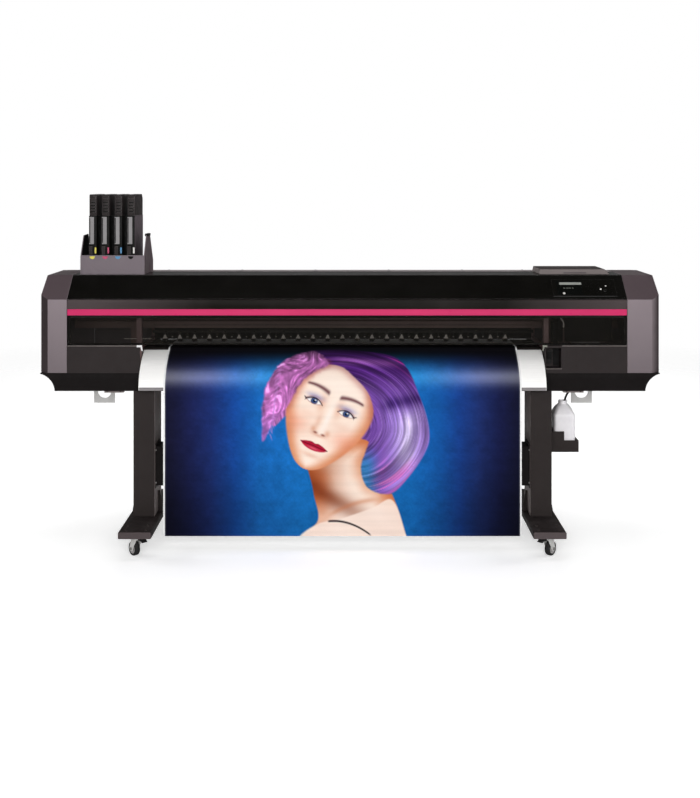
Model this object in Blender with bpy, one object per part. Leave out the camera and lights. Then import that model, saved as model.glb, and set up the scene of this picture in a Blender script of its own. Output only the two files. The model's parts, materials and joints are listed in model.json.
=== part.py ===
"""Wide-format roll printer with cut-off blade, on a wheeled T-leg stand.

Frame: metres, +Z up, +X to the operator's right, -Y towards the operator.
Origin: on the floor, under the middle of the machine's bounding box.
Every visible object is one physical piece. Moving pieces have their origin on their joint's
axis. Hidden wire objects are the operands of the Boolean modifiers.
"""

import math

import bmesh
import bpy
from mathutils import Matrix, Vector

# ---------------------------------------------------------------- driving dimensions (m)
X_MID = -0.032         # middle of the print path; the cabinet's middle is X = 0
X_END_L = -1.220       # inner edge of the left side cover
X_END_R = 1.195        # inner edge of the right side cover
X_FACE = 1.302         # where a side cover's front face turns into its corner chamfer
X_SIDE = 1.336         # side face just behind that chamfer
X_OUT = 1.350          # side face at the back
Y_FRONT = -0.240       # front face of the cabinet
Y_TOPF = -0.130        # front edge of the flat top
Y_TOPR = 0.160         # back edge of the flat top
Y_BACK = 0.300         # back face of the cabinet
Z_BOT = 0.660          # underside of the cabinet
Z_SPLIT = 0.740        # joint between the black base and the covers
Z_SILL = 0.858         # top of the lower front panels
Z_TRIM0, Z_TRIM1 = 0.988, 1.015   # coloured trim strip
Z_FASCIA = 1.057       # top of the front cover, foot of the sloping fascia
Z_TOP = 1.154          # flat top
Z_BACKTOP = 1.050      # foot of the sloping back of the top
Z_FLOOR = Z_BOT + 0.003           # underside of pieces standing in the base tray
GAP = 0.0004           # assembly gap between pieces that touch
PANEL_X0, PANEL_X1 = X_END_L + GAP, X_END_R - GAP   # panels between the side covers

GUIDE_HALF = 0.868     # half length of the curved media guides
GUIDE_X0, GUIDE_X1 = X_MID - GUIDE_HALF, X_MID + GUIDE_HALF
MEDIA_HALF = 0.762     # 60 inch roll
PLATEN_Z = 0.840       # printing surface
DRIVE_Y, DRIVE_R = 0.005, 0.010
DRIVE_Z = PLATEN_Z - 0.0005 - DRIVE_R
FRAME_DX = 0.887       # inner side frames from X_MID
LEG_DX, LEG_W = 0.858, 0.092      # leg centre line from X_MID, leg width
BEAM_Y0, BEAM_Y1 = -0.215, -0.115
HOSE_X, HOSE_Y = 0.976, -0.120    # where the waste tube leaves the tray's floor
SIDES = (("left", -1), ("right", 1))

for old in list(bpy.data.objects):
    bpy.data.objects.remove(old)


# ---------------------------------------------------------------- materials
def material(name, colour, roughness, metallic=0.0, alpha=1.0):
    mat = bpy.data.materials.new(name)
    mat.use_nodes = True
    shader = mat.node_tree.nodes["Principled BSDF"]
    shader.inputs["Base Color"].default_value = (*colour, 1.0)
    shader.inputs["Roughness"].default_value = roughness
    shader.inputs["Metallic"].default_value = metallic
    shader.inputs["Alpha"].default_value = alpha
    mat.diffuse_color = (*colour, alpha)
    return mat


COVER = material("cover_grey", colour=(0.115, 0.098, 0.105), roughness=0.45)
PANEL = material("panel_dark", colour=(0.040, 0.031, 0.031), roughness=0.45)
BLACK = material("base_black", colour=(0.018, 0.016, 0.016), roughness=0.45)
GLOSS = material("fascia_gloss_black", colour=(0.008, 0.008, 0.007), roughness=0.08)
TRIM = material("trim_magenta", colour=(0.72, 0.03, 0.17), roughness=0.3)
SMOKE = material("window_smoke", colour=(0.02, 0.018, 0.016), roughness=0.05, alpha=0.35)
ALUMINIUM = material("guide_aluminium", colour=(0.86, 0.86, 0.85), roughness=0.35, metallic=0.6)
STEEL = material("steel", colour=(0.55, 0.55, 0.56), roughness=0.35, metallic=1.0)
ZINC = material("zinc_plate", colour=(0.62, 0.62, 0.62), roughness=0.5, metallic=0.6)
DARK = material("inner_dark", colour=(0.03, 0.026, 0.025), roughness=0.5)
RUBBER = material("rubber", colour=(0.012, 0.012, 0.012), roughness=0.7)
PAPER = material("paper", colour=(0.9, 0.9, 0.9), roughness=0.5)
PRINT = material("print_blue", colour=(0.02, 0.09, 0.3), roughness=0.3)
BOTTLE = material("bottle_white", colour=(0.82, 0.8, 0.82), roughness=0.4)
INKS = {   # in cartridge order, left to right
    "yellow": material("ink_yellow", colour=(0.8, 0.72, 0.02), roughness=0.4),
    "magenta": material("ink_magenta", colour=(0.7, 0.03, 0.2), roughness=0.4),
    "cyan": material("ink_cyan", colour=(0.05, 0.35, 0.65), roughness=0.4),
    "black": material("ink_black", colour=(0.01, 0.01, 0.01), roughness=0.4),
}


# ---------------------------------------------------------------- outlines
def rect(u0, u1, v0, v1):
    return [(u0, v0), (u1, v0), (u1, v1), (u0, v1)]


def rod(radius, start, end):
    """The (radius, height) profile of a solid cylinder."""
    return [(0, start), (radius, start), (radius, end), (0, end)]


def mirrored(half):
    """A (radius, height) profile completed by its mirror image at the other end."""
    return half + [(radius, -height) for radius, height in reversed(half)]


def bezier(p0, p1, p2, p3, steps):
    points = []
    for i in range(steps + 1):
        t = i / steps
        s = 1 - t
        points.append(tuple(
            s**3 * a + 3 * s * s * t * b + 3 * s * t * t * c + t**3 * d
            for a, b, c, d in zip(p0, p1, p2, p3)
        ))
    return points


def offset_line(points, distance):
    """A polyline moved sideways, to the left of its direction, mitred."""
    moved = []
    last = len(points) - 1
    for i, point in enumerate(points):
        here = Vector(point)
        before = Vector(points[max(i - 1, 0)])
        after = Vector(points[min(i + 1, last)])
        if 0 < i < last:
            arriving = (here - before).normalized()
            leaving = (after - here).normalized()
            both = arriving + leaving
            normal = Vector((-both.y, both.x)).normalized()
            reach = distance / max(0.3, normal.dot(Vector((-arriving.y, arriving.x))))
        else:
            along = (after - before).normalized()
            normal = Vector((-along.y, along.x))
            reach = distance
        moved.append((point[0] + normal.x * reach, point[1] + normal.y * reach))
    return moved


def strip(points, thickness):
    """A closed outline of a thin sheet whose right-hand face is points."""
    return list(points) + offset_line(points, thickness)[::-1]


# ---------------------------------------------------------------- meshes and objects
def add_object(name, data, mat=None):
    obj = bpy.data.objects.new(name, data)
    bpy.context.scene.collection.objects.link(obj)
    if mat:
        data.materials.append(mat)
    return obj


def mesh_object(name, mesh, mat):
    data = bpy.data.meshes.new(name)
    mesh.to_mesh(data)
    mesh.free()
    return add_object(name, data, mat)


def keep(name, mesh, mat=None, smooth=None):
    """A bmesh becomes an object with outward normals; one without a material is hidden."""
    bmesh.ops.recalc_face_normals(mesh, faces=mesh.faces)
    obj = mesh_object(name, mesh, mat)
    if smooth:
        obj.data.shade_smooth()
        obj.data.set_sharp_from_angle(angle=math.radians(smooth))
    if mat is None:
        obj.hide_render = True
        obj.display_type = "WIRE"
    return obj


def bevel_all(mesh, width):
    edges = [
        edge for edge in mesh.edges
        if len(edge.link_faces) == 2 and edge.calc_face_angle(0) > math.radians(30)
    ]
    bmesh.ops.bevel(mesh, geom=edges, offset=width, segments=1, profile=0.5,
                    affect="EDGES", clamp_overlap=True)


def boxes(name, rows, mat=None, bevel=0.0):
    """Separate boxes in one object. Each row is x0, x1, y0, y1, z0, z1."""
    mesh = bmesh.new()
    for x0, x1, y0, y1, z0, z1 in rows:
        middle = Matrix.Translation(((x0 + x1) / 2, (y0 + y1) / 2, (z0 + z1) / 2))
        scale = Matrix.Diagonal((x1 - x0, y1 - y0, z1 - z0, 1))
        bmesh.ops.create_cube(mesh, size=1, matrix=middle @ scale)
    if bevel:
        bevel_all(mesh, bevel)
    return keep(name, mesh, mat)


def box(name, bounds, mat=None, bevel=0.0):
    return boxes(name, [bounds], mat, bevel)


def ring_at(mesh, outline, height, axis):
    """New vertices of an outline at this height on axis; its columns are the other two axes."""
    ring = []
    for u, v in outline:
        point = {"X": (height, u, v), "Y": (u, height, v), "Z": (u, v, height)}[axis]
        ring.append(mesh.verts.new(point))
    return ring


def bridge(mesh, low, high):
    count = len(low)
    for k in range(count):
        m = (k + 1) % count
        mesh.faces.new((low[k], low[m], high[m], high[k]))


def capped(mesh, low, high):
    mesh.faces.new(low)
    mesh.faces.new(high)
    bridge(mesh, low, high)


def add_prism(mesh, outline, start, end, axis):
    capped(mesh, ring_at(mesh, outline, start, axis), ring_at(mesh, outline, end, axis))


def prism(name, outline, start, end, axis, mat=None, bevel=0.0, smooth=None):
    mesh = bmesh.new()
    add_prism(mesh, outline, start, end, axis)
    if bevel:
        bevel_all(mesh, bevel)
    return keep(name, mesh, mat, smooth)


def open_tube(name, outer, inner, start, end, axis, mat):
    """The wall between two outlines of equal point count, open at both ends."""
    mesh = bmesh.new()
    rings = [
        ring_at(mesh, outline, height, axis)
        for outline, height in ((outer, start), (outer, end), (inner, end), (inner, start))
    ]
    for low, high in zip(rings, rings[1:] + rings[:1]):
        bridge(mesh, low, high)
    return keep(name, mesh, mat)


def box_tube(name, u0, u1, v0, v1, start, end, axis, mat):
    wall = 0.003
    inner = rect(u0 + wall, u1 - wall, v0 + wall, v1 - wall)
    return open_tube(name, rect(u0, u1, v0, v1), inner, start, end, axis, mat)


def add_turned(mesh, profile, centre, axis, segments):
    """A (radius, height) profile turned round an axis through centre. Radius 0 makes a pole."""
    turn = {
        "X": Matrix.Rotation(math.radians(90), 4, "Y"),
        "Y": Matrix.Rotation(math.radians(-90), 4, "X"),
        "Z": Matrix.Identity(4),
    }[axis]
    rings = []
    for radius, height in profile:
        ring = []
        for k in range(segments if radius else 1):
            angle = 2 * math.pi * k / segments
            point = Vector((radius * math.cos(angle), radius * math.sin(angle), height))
            ring.append(mesh.verts.new(Vector(centre) + turn @ point))
        rings.append(ring)
    pairs = list(zip(rings, rings[1:]))
    if profile[0][0] and profile[-1][0]:
        pairs.append((rings[-1], rings[0]))   # a tube: its profile closes on itself
    for low, high in pairs:
        if len(low) == len(high):
            bridge(mesh, low, high)
            continue
        for k in range(segments):
            m = (k + 1) % segments
            if len(low) == 1:
                mesh.faces.new((low[0], high[k], high[m]))
            else:
                mesh.faces.new((low[k], low[m], high[0]))


def turned(name, profile, axis, segments, mat=None, centre=(0, 0, 0), smooth=40):
    mesh = bmesh.new()
    add_turned(mesh, profile, centre, axis, segments)
    return keep(name, mesh, mat, smooth)


def join(obj, other, operation="UNION"):
    """A Boolean that stays on the object."""
    modifier = obj.modifiers.new(operation.lower() + "_" + other.name, "BOOLEAN")
    modifier.operation = operation
    modifier.solver = "EXACT"
    modifier.object = other


def cut(obj, other):
    join(obj, other, "DIFFERENCE")


def pivot(obj, origin, parent=None):
    """Moves the object's origin to its joint's axis, leaving its shape where it is."""
    origin = Vector(origin)
    obj.data.transform(Matrix.Translation(-origin))
    obj.location = origin
    if parent is not None:
        obj.parent = parent
        obj.location = origin - parent.location


# ---------------------------------------------------------------- stand
LEG_Y0, LEG_Y1 = -0.225, -0.050
FOOT_W, FOOT_Y0, FOOT_Y1 = 0.137, -0.450, 0.230
FOOT_Z0, FOOT_Z1 = 0.0886, 0.117
FOOT_WALL = 0.004
CASTER_PAD = 0.045     # half length of the solid part of a foot over a caster
BEAM_Z0, BEAM_Z1 = 0.248, 0.418
WHEEL_R, WHEEL_W = 0.030, 0.024
TRAIL = 0.020          # wheel axle behind the swivel axis
CASTER_SWING = 42      # degrees each caster is swung from straight, mirrored left to right
CASTER_YS = (-0.390, 0.170)       # front, rear


def leg_and_foot(side, x):
    box_tube(f"leg_{side}", x - LEG_W / 2, x + LEG_W / 2, LEG_Y0, LEG_Y1,
             FOOT_Z1 + GAP, Z_BOT - GAP, "Z", BLACK)
    x0, x1 = x - FOOT_W / 2, x + FOOT_W / 2
    foot = box(f"foot_{side}", (x0, x1, FOOT_Y0, FOOT_Y1, FOOT_Z0, FOOT_Z1), BLACK, bevel=0.003)
    # hollow from below between the caster pads
    cut(foot, box(f"foot_hollow_{side}", (
        x0 + FOOT_WALL, x1 - FOOT_WALL, CASTER_YS[0] + CASTER_PAD, CASTER_YS[1] - CASTER_PAD,
        FOOT_Z0 - 0.01, FOOT_Z1 - FOOT_WALL,
    )))


def cross_beam():
    half = LEG_DX - LEG_W / 2 - GAP
    box_tube("stand_cross_beam", BEAM_Y0, BEAM_Y1, BEAM_Z0, BEAM_Z1,
             X_MID - half, X_MID + half, "X", BLACK)


def caster(tag, x, y, swing, brake):
    """A swivel caster, modelled trailing towards +Y, then turned about Z by swing degrees."""
    turn = Matrix.Rotation(math.radians(swing), 4, "Z")
    top = FOOT_Z0 - GAP
    half = WHEEL_W / 2

    cheek = [   # y, z
        (-0.020, top - 0.012), (0.018, top - 0.012),
        (TRAIL + 0.014, WHEEL_R + 0.004), (TRAIL + 0.008, WHEEL_R - 0.010),
        (TRAIL - 0.008, WHEEL_R - 0.010), (TRAIL - 0.014, WHEEL_R + 0.006),
    ]
    mesh = bmesh.new()
    add_prism(mesh, cheek, -half - 0.0045, -half - 0.002, "X")
    add_prism(mesh, cheek, half + 0.002, half + 0.0045, "X")
    cheeks = keep(f"yoke_cheeks_{tag}", mesh)
    yoke = turned(f"caster_yoke_{tag}", rod(0.024, top - 0.018, top), "Z", 16, STEEL)
    axle = turned(f"yoke_axle_{tag}", rod(0.004, -half - 0.006, half + 0.006), "X", 10,
                  centre=(0, TRAIL, WHEEL_R))
    join(yoke, cheeks)
    join(yoke, axle)
    for obj in (yoke, cheeks, axle):
        obj.data.transform(turn)
        obj.location = (x, y, 0)

    wheel = turned(f"caster_wheel_{tag}", mirrored([
        (0.0046, -half), (0.022, -half), (0.027, -half + 0.001), (WHEEL_R, -half + 0.005),
    ]), "X", 24, RUBBER, smooth=50)
    wheel.data.transform(turn)
    wheel.location = turn @ Vector((0, TRAIL, WHEEL_R))
    wheel.parent = yoke

    if brake:
        # pedal hinged in front of the swivel head, away from the trailing wheel
        pedal = prism(f"caster_brake_{tag}", [   # y, z from the hinge
            (0.003, -0.003), (-0.004, -0.004), (-0.020, -0.0035), (-0.030, -0.009),
            (-0.032, -0.006), (-0.022, 0.001), (-0.004, 0.003), (0.003, 0.003),
        ], -0.013, 0.013, "X", RUBBER)
        pedal.data.transform(turn)
        pedal.location = turn @ Vector((0, -0.030, top - 0.009))
        pedal.parent = yoke


def stand():
    for side, sign in SIDES:
        leg_and_foot(side, X_MID + sign * LEG_DX)
    cross_beam()
    for side, sign in SIDES:
        for end, y in zip(("front", "rear"), CASTER_YS):
            caster(f"{end}_{side}", X_MID + sign * LEG_DX, y,
                   swing=-CASTER_SWING * sign, brake=end == "front")


# ---------------------------------------------------------------- black base of the cabinet
TRAY_WALL = 0.0025
TRAY_Y0, TRAY_Y1 = Y_FRONT + 0.004, Y_BACK - 0.004            # at the rim
TRAY_FOOT_Y0, TRAY_FOOT_Y1 = Y_FRONT + 0.013, Y_BACK - 0.030  # at the underside
TRAY_HOLLOW_HALF = 1.272
ARCH_X, ARCH_R = 1.354, 0.078     # round cut-away at each lower end
LUG_X, LUG_Z, LUG_HOLE_R = 1.083, 0.612, 0.030                # X from X_MID


def base_tray():
    base = prism("base_tray", [
        (TRAY_Y0, Z_SPLIT - GAP), (TRAY_Y0, Z_SPLIT - 0.02), (TRAY_FOOT_Y0, Z_BOT),
        (TRAY_FOOT_Y1, Z_BOT), (TRAY_Y1, Z_SPLIT - 0.04), (TRAY_Y1, Z_SPLIT - GAP),
    ], -X_SIDE, X_SIDE, "X", BLACK, bevel=0.0015)
    for side, sign in SIDES:
        cut(base, turned(f"arch_{side}", rod(ARCH_R, -0.5, 0.5), "Y", 40,
                         centre=(sign * ARCH_X, 0, Z_BOT)))
    y0, y1 = TRAY_Y0 + TRAY_WALL, TRAY_Y1 - TRAY_WALL
    cut(base, prism("base_hollow", [
        (y0, Z_SPLIT + 0.02), (y0, Z_SPLIT - 0.02),
        (TRAY_FOOT_Y0 + TRAY_WALL, Z_BOT + TRAY_WALL),
        (TRAY_FOOT_Y1 - TRAY_WALL, Z_BOT + TRAY_WALL),
        (y1, Z_SPLIT - 0.039), (y1, Z_SPLIT + 0.02),
    ], -TRAY_HOLLOW_HALF, TRAY_HOLLOW_HALF, "X"))
    # the waste tube leaves through the floor of the tray
    cut(base, turned("tube_hole", rod(0.008, Z_BOT - 0.02, Z_BOT + 0.03), "Z", 16,
                     centre=(HOSE_X, HOSE_Y, 0)))
    # clearance for the media guide over the back edge, below the covers
    cut(base, box("tray_notch", (
        GUIDE_X0 - 0.004, GUIDE_X1 + 0.004, Y_BACK - 0.03, Y_BACK + 0.02, 0.690, 0.80,
    )))


def lifting_rail():
    """A bar under the tray with a drilled drop plate at each end."""
    rail = box("lifting_rail", (
        X_MID - 1.060, X_MID + 1.060, 0.020, 0.050, Z_BOT - 0.0115, Z_BOT - GAP,
    ), ZINC, bevel=0.001)
    plates = []
    holes = bmesh.new()
    for sign in (-1, 1):
        x0, x1 = sorted((X_MID + sign * 1.036, X_MID + sign * 1.131))
        plates.append((x0, x1, 0.030, 0.033, 0.560, Z_BOT - GAP))
        centre = (X_MID + sign * LUG_X, 0, LUG_Z)
        add_turned(holes, rod(LUG_HOLE_R, -0.05, 0.10), centre, "Y", 28)
    join(rail, boxes("lug_plates", plates))
    cut(rail, keep("lug_holes", holes))


# ---------------------------------------------------------------- covers
COVER_PROFILE = [   # y, z of the cabinet, from the lower front edge over the top
    (Y_FRONT, Z_SPLIT), (Y_FRONT, Z_FASCIA), (Y_TOPF, Z_TOP),
    (Y_TOPR, Z_TOP), (Y_BACK, Z_BACKTOP), (Y_BACK, Z_SPLIT),
]
SIDE_FACE = [       # |x|, y, z of the side face, point for point with COVER_PROFILE
    (X_SIDE, -0.219, Z_SPLIT),
    (X_SIDE, -0.219, 1.0755),
    (1.3315, Y_TOPF, Z_TOP - 0.001),
    (1.3365, Y_TOPR, Z_TOP - 0.001),
    (1.346, Y_BACK - 0.012, Z_BACKTOP),
    (X_OUT, Y_BACK - 0.012, Z_SPLIT),
]
# the fascia's surface in the Y, Z plane
FASCIA_FOOT = Vector((Y_FRONT, Z_FASCIA))
FASCIA_HEAD = Vector((Y_TOPF, Z_TOP))
UPSLOPE = (FASCIA_HEAD - FASCIA_FOOT).normalized()
INWARD = Vector((UPSLOPE.y, -UPSLOPE.x))   # square to the slope, into the cabinet

SHELF = 0.055          # depth of the front panels' folded top edge
FOLD_T = 0.004
POCKET_X1 = 0.910      # right wall of the lever pocket


def side_cover(name, sign, x_in):
    """A moulded end shell: front, sloping brow, top, back and side, open inwards and down."""
    mesh = bmesh.new()
    inner = ring_at(mesh, COVER_PROFILE, x_in, "X")
    edge = ring_at(mesh, COVER_PROFILE, sign * X_FACE, "X")
    side = [mesh.verts.new((sign * x, y, z)) for x, y, z in SIDE_FACE]
    for k in range(len(inner) - 1):
        mesh.faces.new((inner[k], inner[k + 1], edge[k + 1], edge[k]))
        mesh.faces.new((edge[k], edge[k + 1], side[k + 1], side[k]))
    side_face = mesh.faces.new(side)
    bmesh.ops.recalc_face_normals(mesh, faces=mesh.faces)
    # an open shell has no inside of its own: point the side face outwards
    if side_face.normal.x * sign < 0:
        bmesh.ops.reverse_faces(mesh, faces=[side_face])
    bmesh.ops.triangulate(mesh, faces=[side_face])
    wall = mesh_object(name, mesh, COVER).modifiers.new("wall", "SOLIDIFY")
    wall.thickness = 0.004
    wall.offset = -1
    wall.use_even_offset = True


def fascia_panel():
    foot = FASCIA_FOOT + UPSLOPE * 0.0022
    head = FASCIA_HEAD - UPSLOPE * 0.0012
    depth, taper = INWARD * 0.004, UPSLOPE * 0.006
    outline = [foot, head, head + depth - taper, foot + depth + taper]
    prism("fascia_panel", outline, PANEL_X0, PANEL_X1, "X", GLOSS)


def top_cover():
    """Flat top with its sloping back."""
    line = COVER_PROFILE[4:1:-1]
    prism("top_cover", strip(line, 0.0035), PANEL_X0, PANEL_X1, "X", COVER)


def raised_lid():
    """A hollow lid on the right of the top, over the maintenance station."""
    z0, z1 = Z_TOP + GAP, Z_TOP + 0.023
    mesh = bmesh.new()
    capped(mesh,
           ring_at(mesh, rect(0.838, 1.150, -0.104, 0.100), z0, "Z"),
           ring_at(mesh, rect(0.842, 1.128, -0.098, 0.092), z1, "Z"))
    lid = keep("raised_lid", mesh, COVER)
    cut(lid, box("lid_hollow", (0.848, 1.120, -0.092, 0.086, z0 - 0.01, z1 - 0.004)))


def rear_cover():
    """Back cover, notched in the middle where the media goes in."""
    back = box("rear_cover", (
        PANEL_X0, PANEL_X1, Y_BACK - 0.004, Y_BACK, Z_SPLIT, Z_BACKTOP - 0.0035,
    ), COVER)
    cut(back, box("rear_slot", (
        GUIDE_X0 - 0.006, GUIDE_X1 + 0.006, Y_BACK - 0.03, Y_BACK + 0.03, Z_SPLIT - 0.05, 0.900,
    )))


def front_panels():
    """Lower front panels left and right of the guides, each with a folded top edge."""
    x_left, x_right = GUIDE_X0 - 0.005, GUIDE_X1 + 0.005
    fold = [
        (Y_FRONT, Z_SPLIT), (Y_FRONT, Z_SILL), (Y_FRONT + SHELF, Z_SILL),
        (Y_FRONT + SHELF, Z_SILL - FOLD_T), (Y_FRONT + FOLD_T, Z_SILL - FOLD_T),
        (Y_FRONT + FOLD_T, Z_SPLIT),
    ]
    prism("front_panel_left", fold, PANEL_X0, x_left, "X", PANEL)
    right = prism("front_panel_right", fold, x_right, PANEL_X1, "X", PANEL)
    # the lever pocket is a box open to the front
    join(right, box("pocket_shell", (
        x_right, POCKET_X1 + 0.003, Y_FRONT + 0.002, Y_FRONT + SHELF, 0.757, 0.8555,
    )))
    cut(right, box("pocket_hollow", (
        x_right + 0.004, POCKET_X1, Y_FRONT - 0.02, Y_FRONT + SHELF - 0.004, 0.762, 0.848,
    )))


def covers():
    side_cover("side_cover_left", -1, X_END_L)
    side_cover("side_cover_right", 1, X_END_R)
    fascia_panel()
    top_cover()
    raised_lid()
    rear_cover()
    front_panels()


def front_cover():
    """Lifting cover: a top bar with stiles and a bottom rail, a trim strip and a window."""
    x0, x1 = PANEL_X0 + 0.0015, PANEL_X1 - 0.0015
    back = Y_FRONT + 0.010
    window_z0 = 0.862
    radius = 0.005
    hinge = (0.0, Y_FRONT + radius, Z_FASCIA - 0.0055)
    bar = []
    for degrees in range(0, 181, 30):
        angle = math.radians(degrees)
        bar.append((hinge[1] + radius * math.cos(angle), hinge[2] + radius * math.sin(angle)))
    bar += [
        (Y_FRONT, Z_TRIM1 + 0.0003), (Y_FRONT + 0.0055, Z_TRIM1 + 0.0003),
        (Y_FRONT + 0.0055, Z_TRIM0 - 0.012), (back, Z_TRIM0 - 0.012),
    ]
    cover = prism("front_cover_frame", bar, x0, x1, "X", PANEL)
    # end stiles and a thin bottom rail behind the window
    stiles = boxes("cover_stiles", [
        (x0, x0 + 0.012, Y_FRONT + 0.0052, back, window_z0, Z_TRIM0),
        (x1 - 0.012, x1, Y_FRONT + 0.0052, back, window_z0, Z_TRIM0),
    ])
    foot = box("cover_foot", (
        x0 + 0.0005, x1 - 0.0005, Y_FRONT + 0.0054, back - 0.0002, window_z0 + 0.0002, 0.868,
    ))
    join(cover, stiles)
    join(cover, foot)
    for obj in (cover, stiles, foot):
        pivot(obj, hinge)

    trim = box("front_cover_trim", (
        x0, x1, Y_FRONT - 0.0005, Y_FRONT + 0.0051, Z_TRIM0, Z_TRIM1,
    ), TRIM, bevel=0.0008)
    pivot(trim, hinge, cover)
    window = box("front_cover_window", (
        x0, x1, Y_FRONT + 0.0018, Y_FRONT + 0.0048, window_z0, Z_TRIM0 - 0.0004,
    ), SMOKE)
    pivot(window, hinge, cover)


# ---------------------------------------------------------------- inner frame and rail
def side_frame(side, x):
    plate = box(f"side_frame_{side}", (
        x - 0.011, x + 0.011, -0.183, 0.230, Z_FLOOR, 1.048,
    ), DARK)
    cut(plate, turned(f"frame_bore_{side}", rod(0.0065, x - 0.05, x + 0.05), "X", 20,
                      centre=(0, DRIVE_Y, DRIVE_Z)))
    # open at the top where the rail and the carriage pass
    cut(plate, box(f"frame_window_{side}", (x - 0.05, x + 0.05, -0.152, 0.200, 0.8395, 1.062)))


def carriage_rail():
    """A hollow rail with a groove along its front face, on two posts."""
    y0, y1, z0, z1 = 0.030, 0.090, 0.900, 1.000
    groove = y0 + 0.010
    wall = 0.0045
    rail = prism("carriage_rail", [
        (y0, z0), (y1, z0), (y1, z1), (y0, z1), (y0, 0.975), (groove, 0.970),
        (groove, 0.935), (y0, 0.930),
    ], X_END_L - 0.030, X_END_R + 0.030, "X", DARK)
    cut(rail, box("rail_core", (
        X_END_L - 0.05, X_END_R + 0.05, groove + wall, y1 - wall, z0 + wall, z1 - wall,
    )))
    # the posts reach down to the tray's floor outside the side frames
    for tag, sign in (("l", -1), ("r", 1)):
        x = X_MID + sign * (FRAME_DX + 0.060)
        join(rail, box(f"rail_post_{tag}", (
            x - 0.020, x + 0.020, 0.050, 0.085, Z_FLOOR, 0.950,
        )))


def inner_frame():
    for side, sign in SIDES:
        side_frame(side, X_MID + sign * FRAME_DX)
    carriage_rail()


# ---------------------------------------------------------------- print path
PLATEN_Y0 = -0.150
GUIDE_T = 0.003
# y, z centre lines of the media side of each guide, from the platen outwards
FRONT_CURVE = bezier((-0.1635, 0.8290), (-0.229, 0.805), (-0.2976, 0.749), (-0.3030, 0.689), 12)
REAR_CURVE = bezier((0.0240, 0.8385), (0.150, 0.8385), (0.322, 0.830), (0.3300, 0.700), 12)
PINCH_X0, PINCH_PITCH, PINCH_COUNT = -0.8355, 0.0668, 24
PINCH_R = 0.008
PINCH_Z = PLATEN_Z + 0.0022 + PINCH_R      # roller centres
PINCH_BAR_Y, PINCH_BAR_Z = 0.020, 0.886
LEVER_ORIGIN = (0.862, Y_FRONT + 0.040, 0.785)


def print_platen():
    prism("print_platen", [
        (PLATEN_Y0 - 0.010, 0.8330), (PLATEN_Y0 - 0.004, 0.8385), (PLATEN_Y0 + 0.006, PLATEN_Z),
        (-0.010, PLATEN_Z), (-0.010, 0.812), (PLATEN_Y0 - 0.004, 0.812),
    ], GUIDE_X0, GUIDE_X1, "X", DARK)


def media_guides():
    """The front extrusion the print slides down, and the curved back guide."""
    lip = [   # y, z of the front guide's lower return towards the machine
        (-0.3030, 0.6875), (-0.2975, 0.6845), (-0.2975, 0.6745), (-0.2325, 0.6745),
        (-0.2330, 0.6775), (-0.2945, 0.6775), (-0.2945, 0.6860),
    ]
    inner_face = offset_line(FRONT_CURVE, GUIDE_T)[::-1][1:]
    prism("front_media_guide", FRONT_CURVE + lip + inner_face,
          GUIDE_X0, GUIDE_X1, "X", ALUMINIUM, smooth=25)
    prism("rear_media_guide", strip(REAR_CURVE, -GUIDE_T),
          GUIDE_X0, GUIDE_X1, "X", DARK, smooth=25)


def drive_roller():
    """Grit drive roller with a journal at each end."""
    shoulder = GUIDE_HALF - 0.004 - 0.012
    journal_end = FRAME_DX - 0.003
    journal_r = 0.006
    drive = turned("drive_roller", mirrored([
        (0, -journal_end), (journal_r, -journal_end), (journal_r, -shoulder),
        (DRIVE_R, -shoulder),
    ]), "X", 20, STEEL)
    drive.location = (X_MID, DRIVE_Y, DRIVE_Z)


def add_pinch_arm(mesh, x):
    """A fork that narrows upwards from the roller to the bar."""
    top_y = PINCH_BAR_Y - 0.005
    outline = [   # x, y, z in the middle of the fork's thickness
        (x - 0.013, DRIVE_Y, PINCH_Z - 0.003), (x + 0.013, DRIVE_Y, PINCH_Z - 0.003),
        (x + 0.013, DRIVE_Y, PINCH_Z + 0.004), (x + 0.0045, top_y, PINCH_BAR_Z + 0.001),
        (x - 0.0045, top_y, PINCH_BAR_Z + 0.001), (x - 0.013, DRIVE_Y, PINCH_Z + 0.004),
    ]
    front = [mesh.verts.new((px, py - 0.004, pz)) for px, py, pz in outline]
    rear = [mesh.verts.new((px, py + 0.004, pz)) for px, py, pz in outline]
    for face in (front, rear):
        mesh.faces.new((face[0], face[1], face[2], face[5]))
        mesh.faces.new((face[5], face[2], face[3], face[4]))
    bridge(mesh, front, rear)


def pinch_roller_unit():
    """Pinch rollers on their arms, all carried by one lifting bar."""
    half = 0.006
    bar = rect(PINCH_BAR_Y - half, PINCH_BAR_Y + half, PINCH_BAR_Z - half, PINCH_BAR_Z + half)
    unit = prism("pinch_roller_unit", bar, GUIDE_X0 + 0.006, GUIDE_X1 - 0.006, "X", STEEL)
    arm_mesh, wheel_mesh = bmesh.new(), bmesh.new()
    for k in range(PINCH_COUNT):
        x = PINCH_X0 + k * PINCH_PITCH
        add_pinch_arm(arm_mesh, x)
        add_turned(wheel_mesh, rod(PINCH_R, -0.009, 0.009), (x, DRIVE_Y, PINCH_Z), "X", 10)
    arms = keep("pinch_arms", arm_mesh)
    wheels = keep("pinch_wheels", wheel_mesh)
    join(unit, arms)
    join(unit, wheels)
    for obj in (unit, arms, wheels):
        pivot(obj, (X_MID, PINCH_BAR_Y, PINCH_BAR_Z))


def media_lever():
    """Lever in the right-hand pocket; it lifts the pinch rollers."""
    lever = prism("media_lever", [   # y, z from its axis
        (-0.007, -0.007), (0.007, -0.007), (0.007, 0.010), (-0.018, 0.050),
        (-0.030, 0.052), (-0.034, 0.044), (-0.026, 0.040), (-0.007, 0.010),
    ], -0.012, 0.012, "X", RUBBER, bevel=0.0012)
    lever.location = LEVER_ORIGIN


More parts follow.
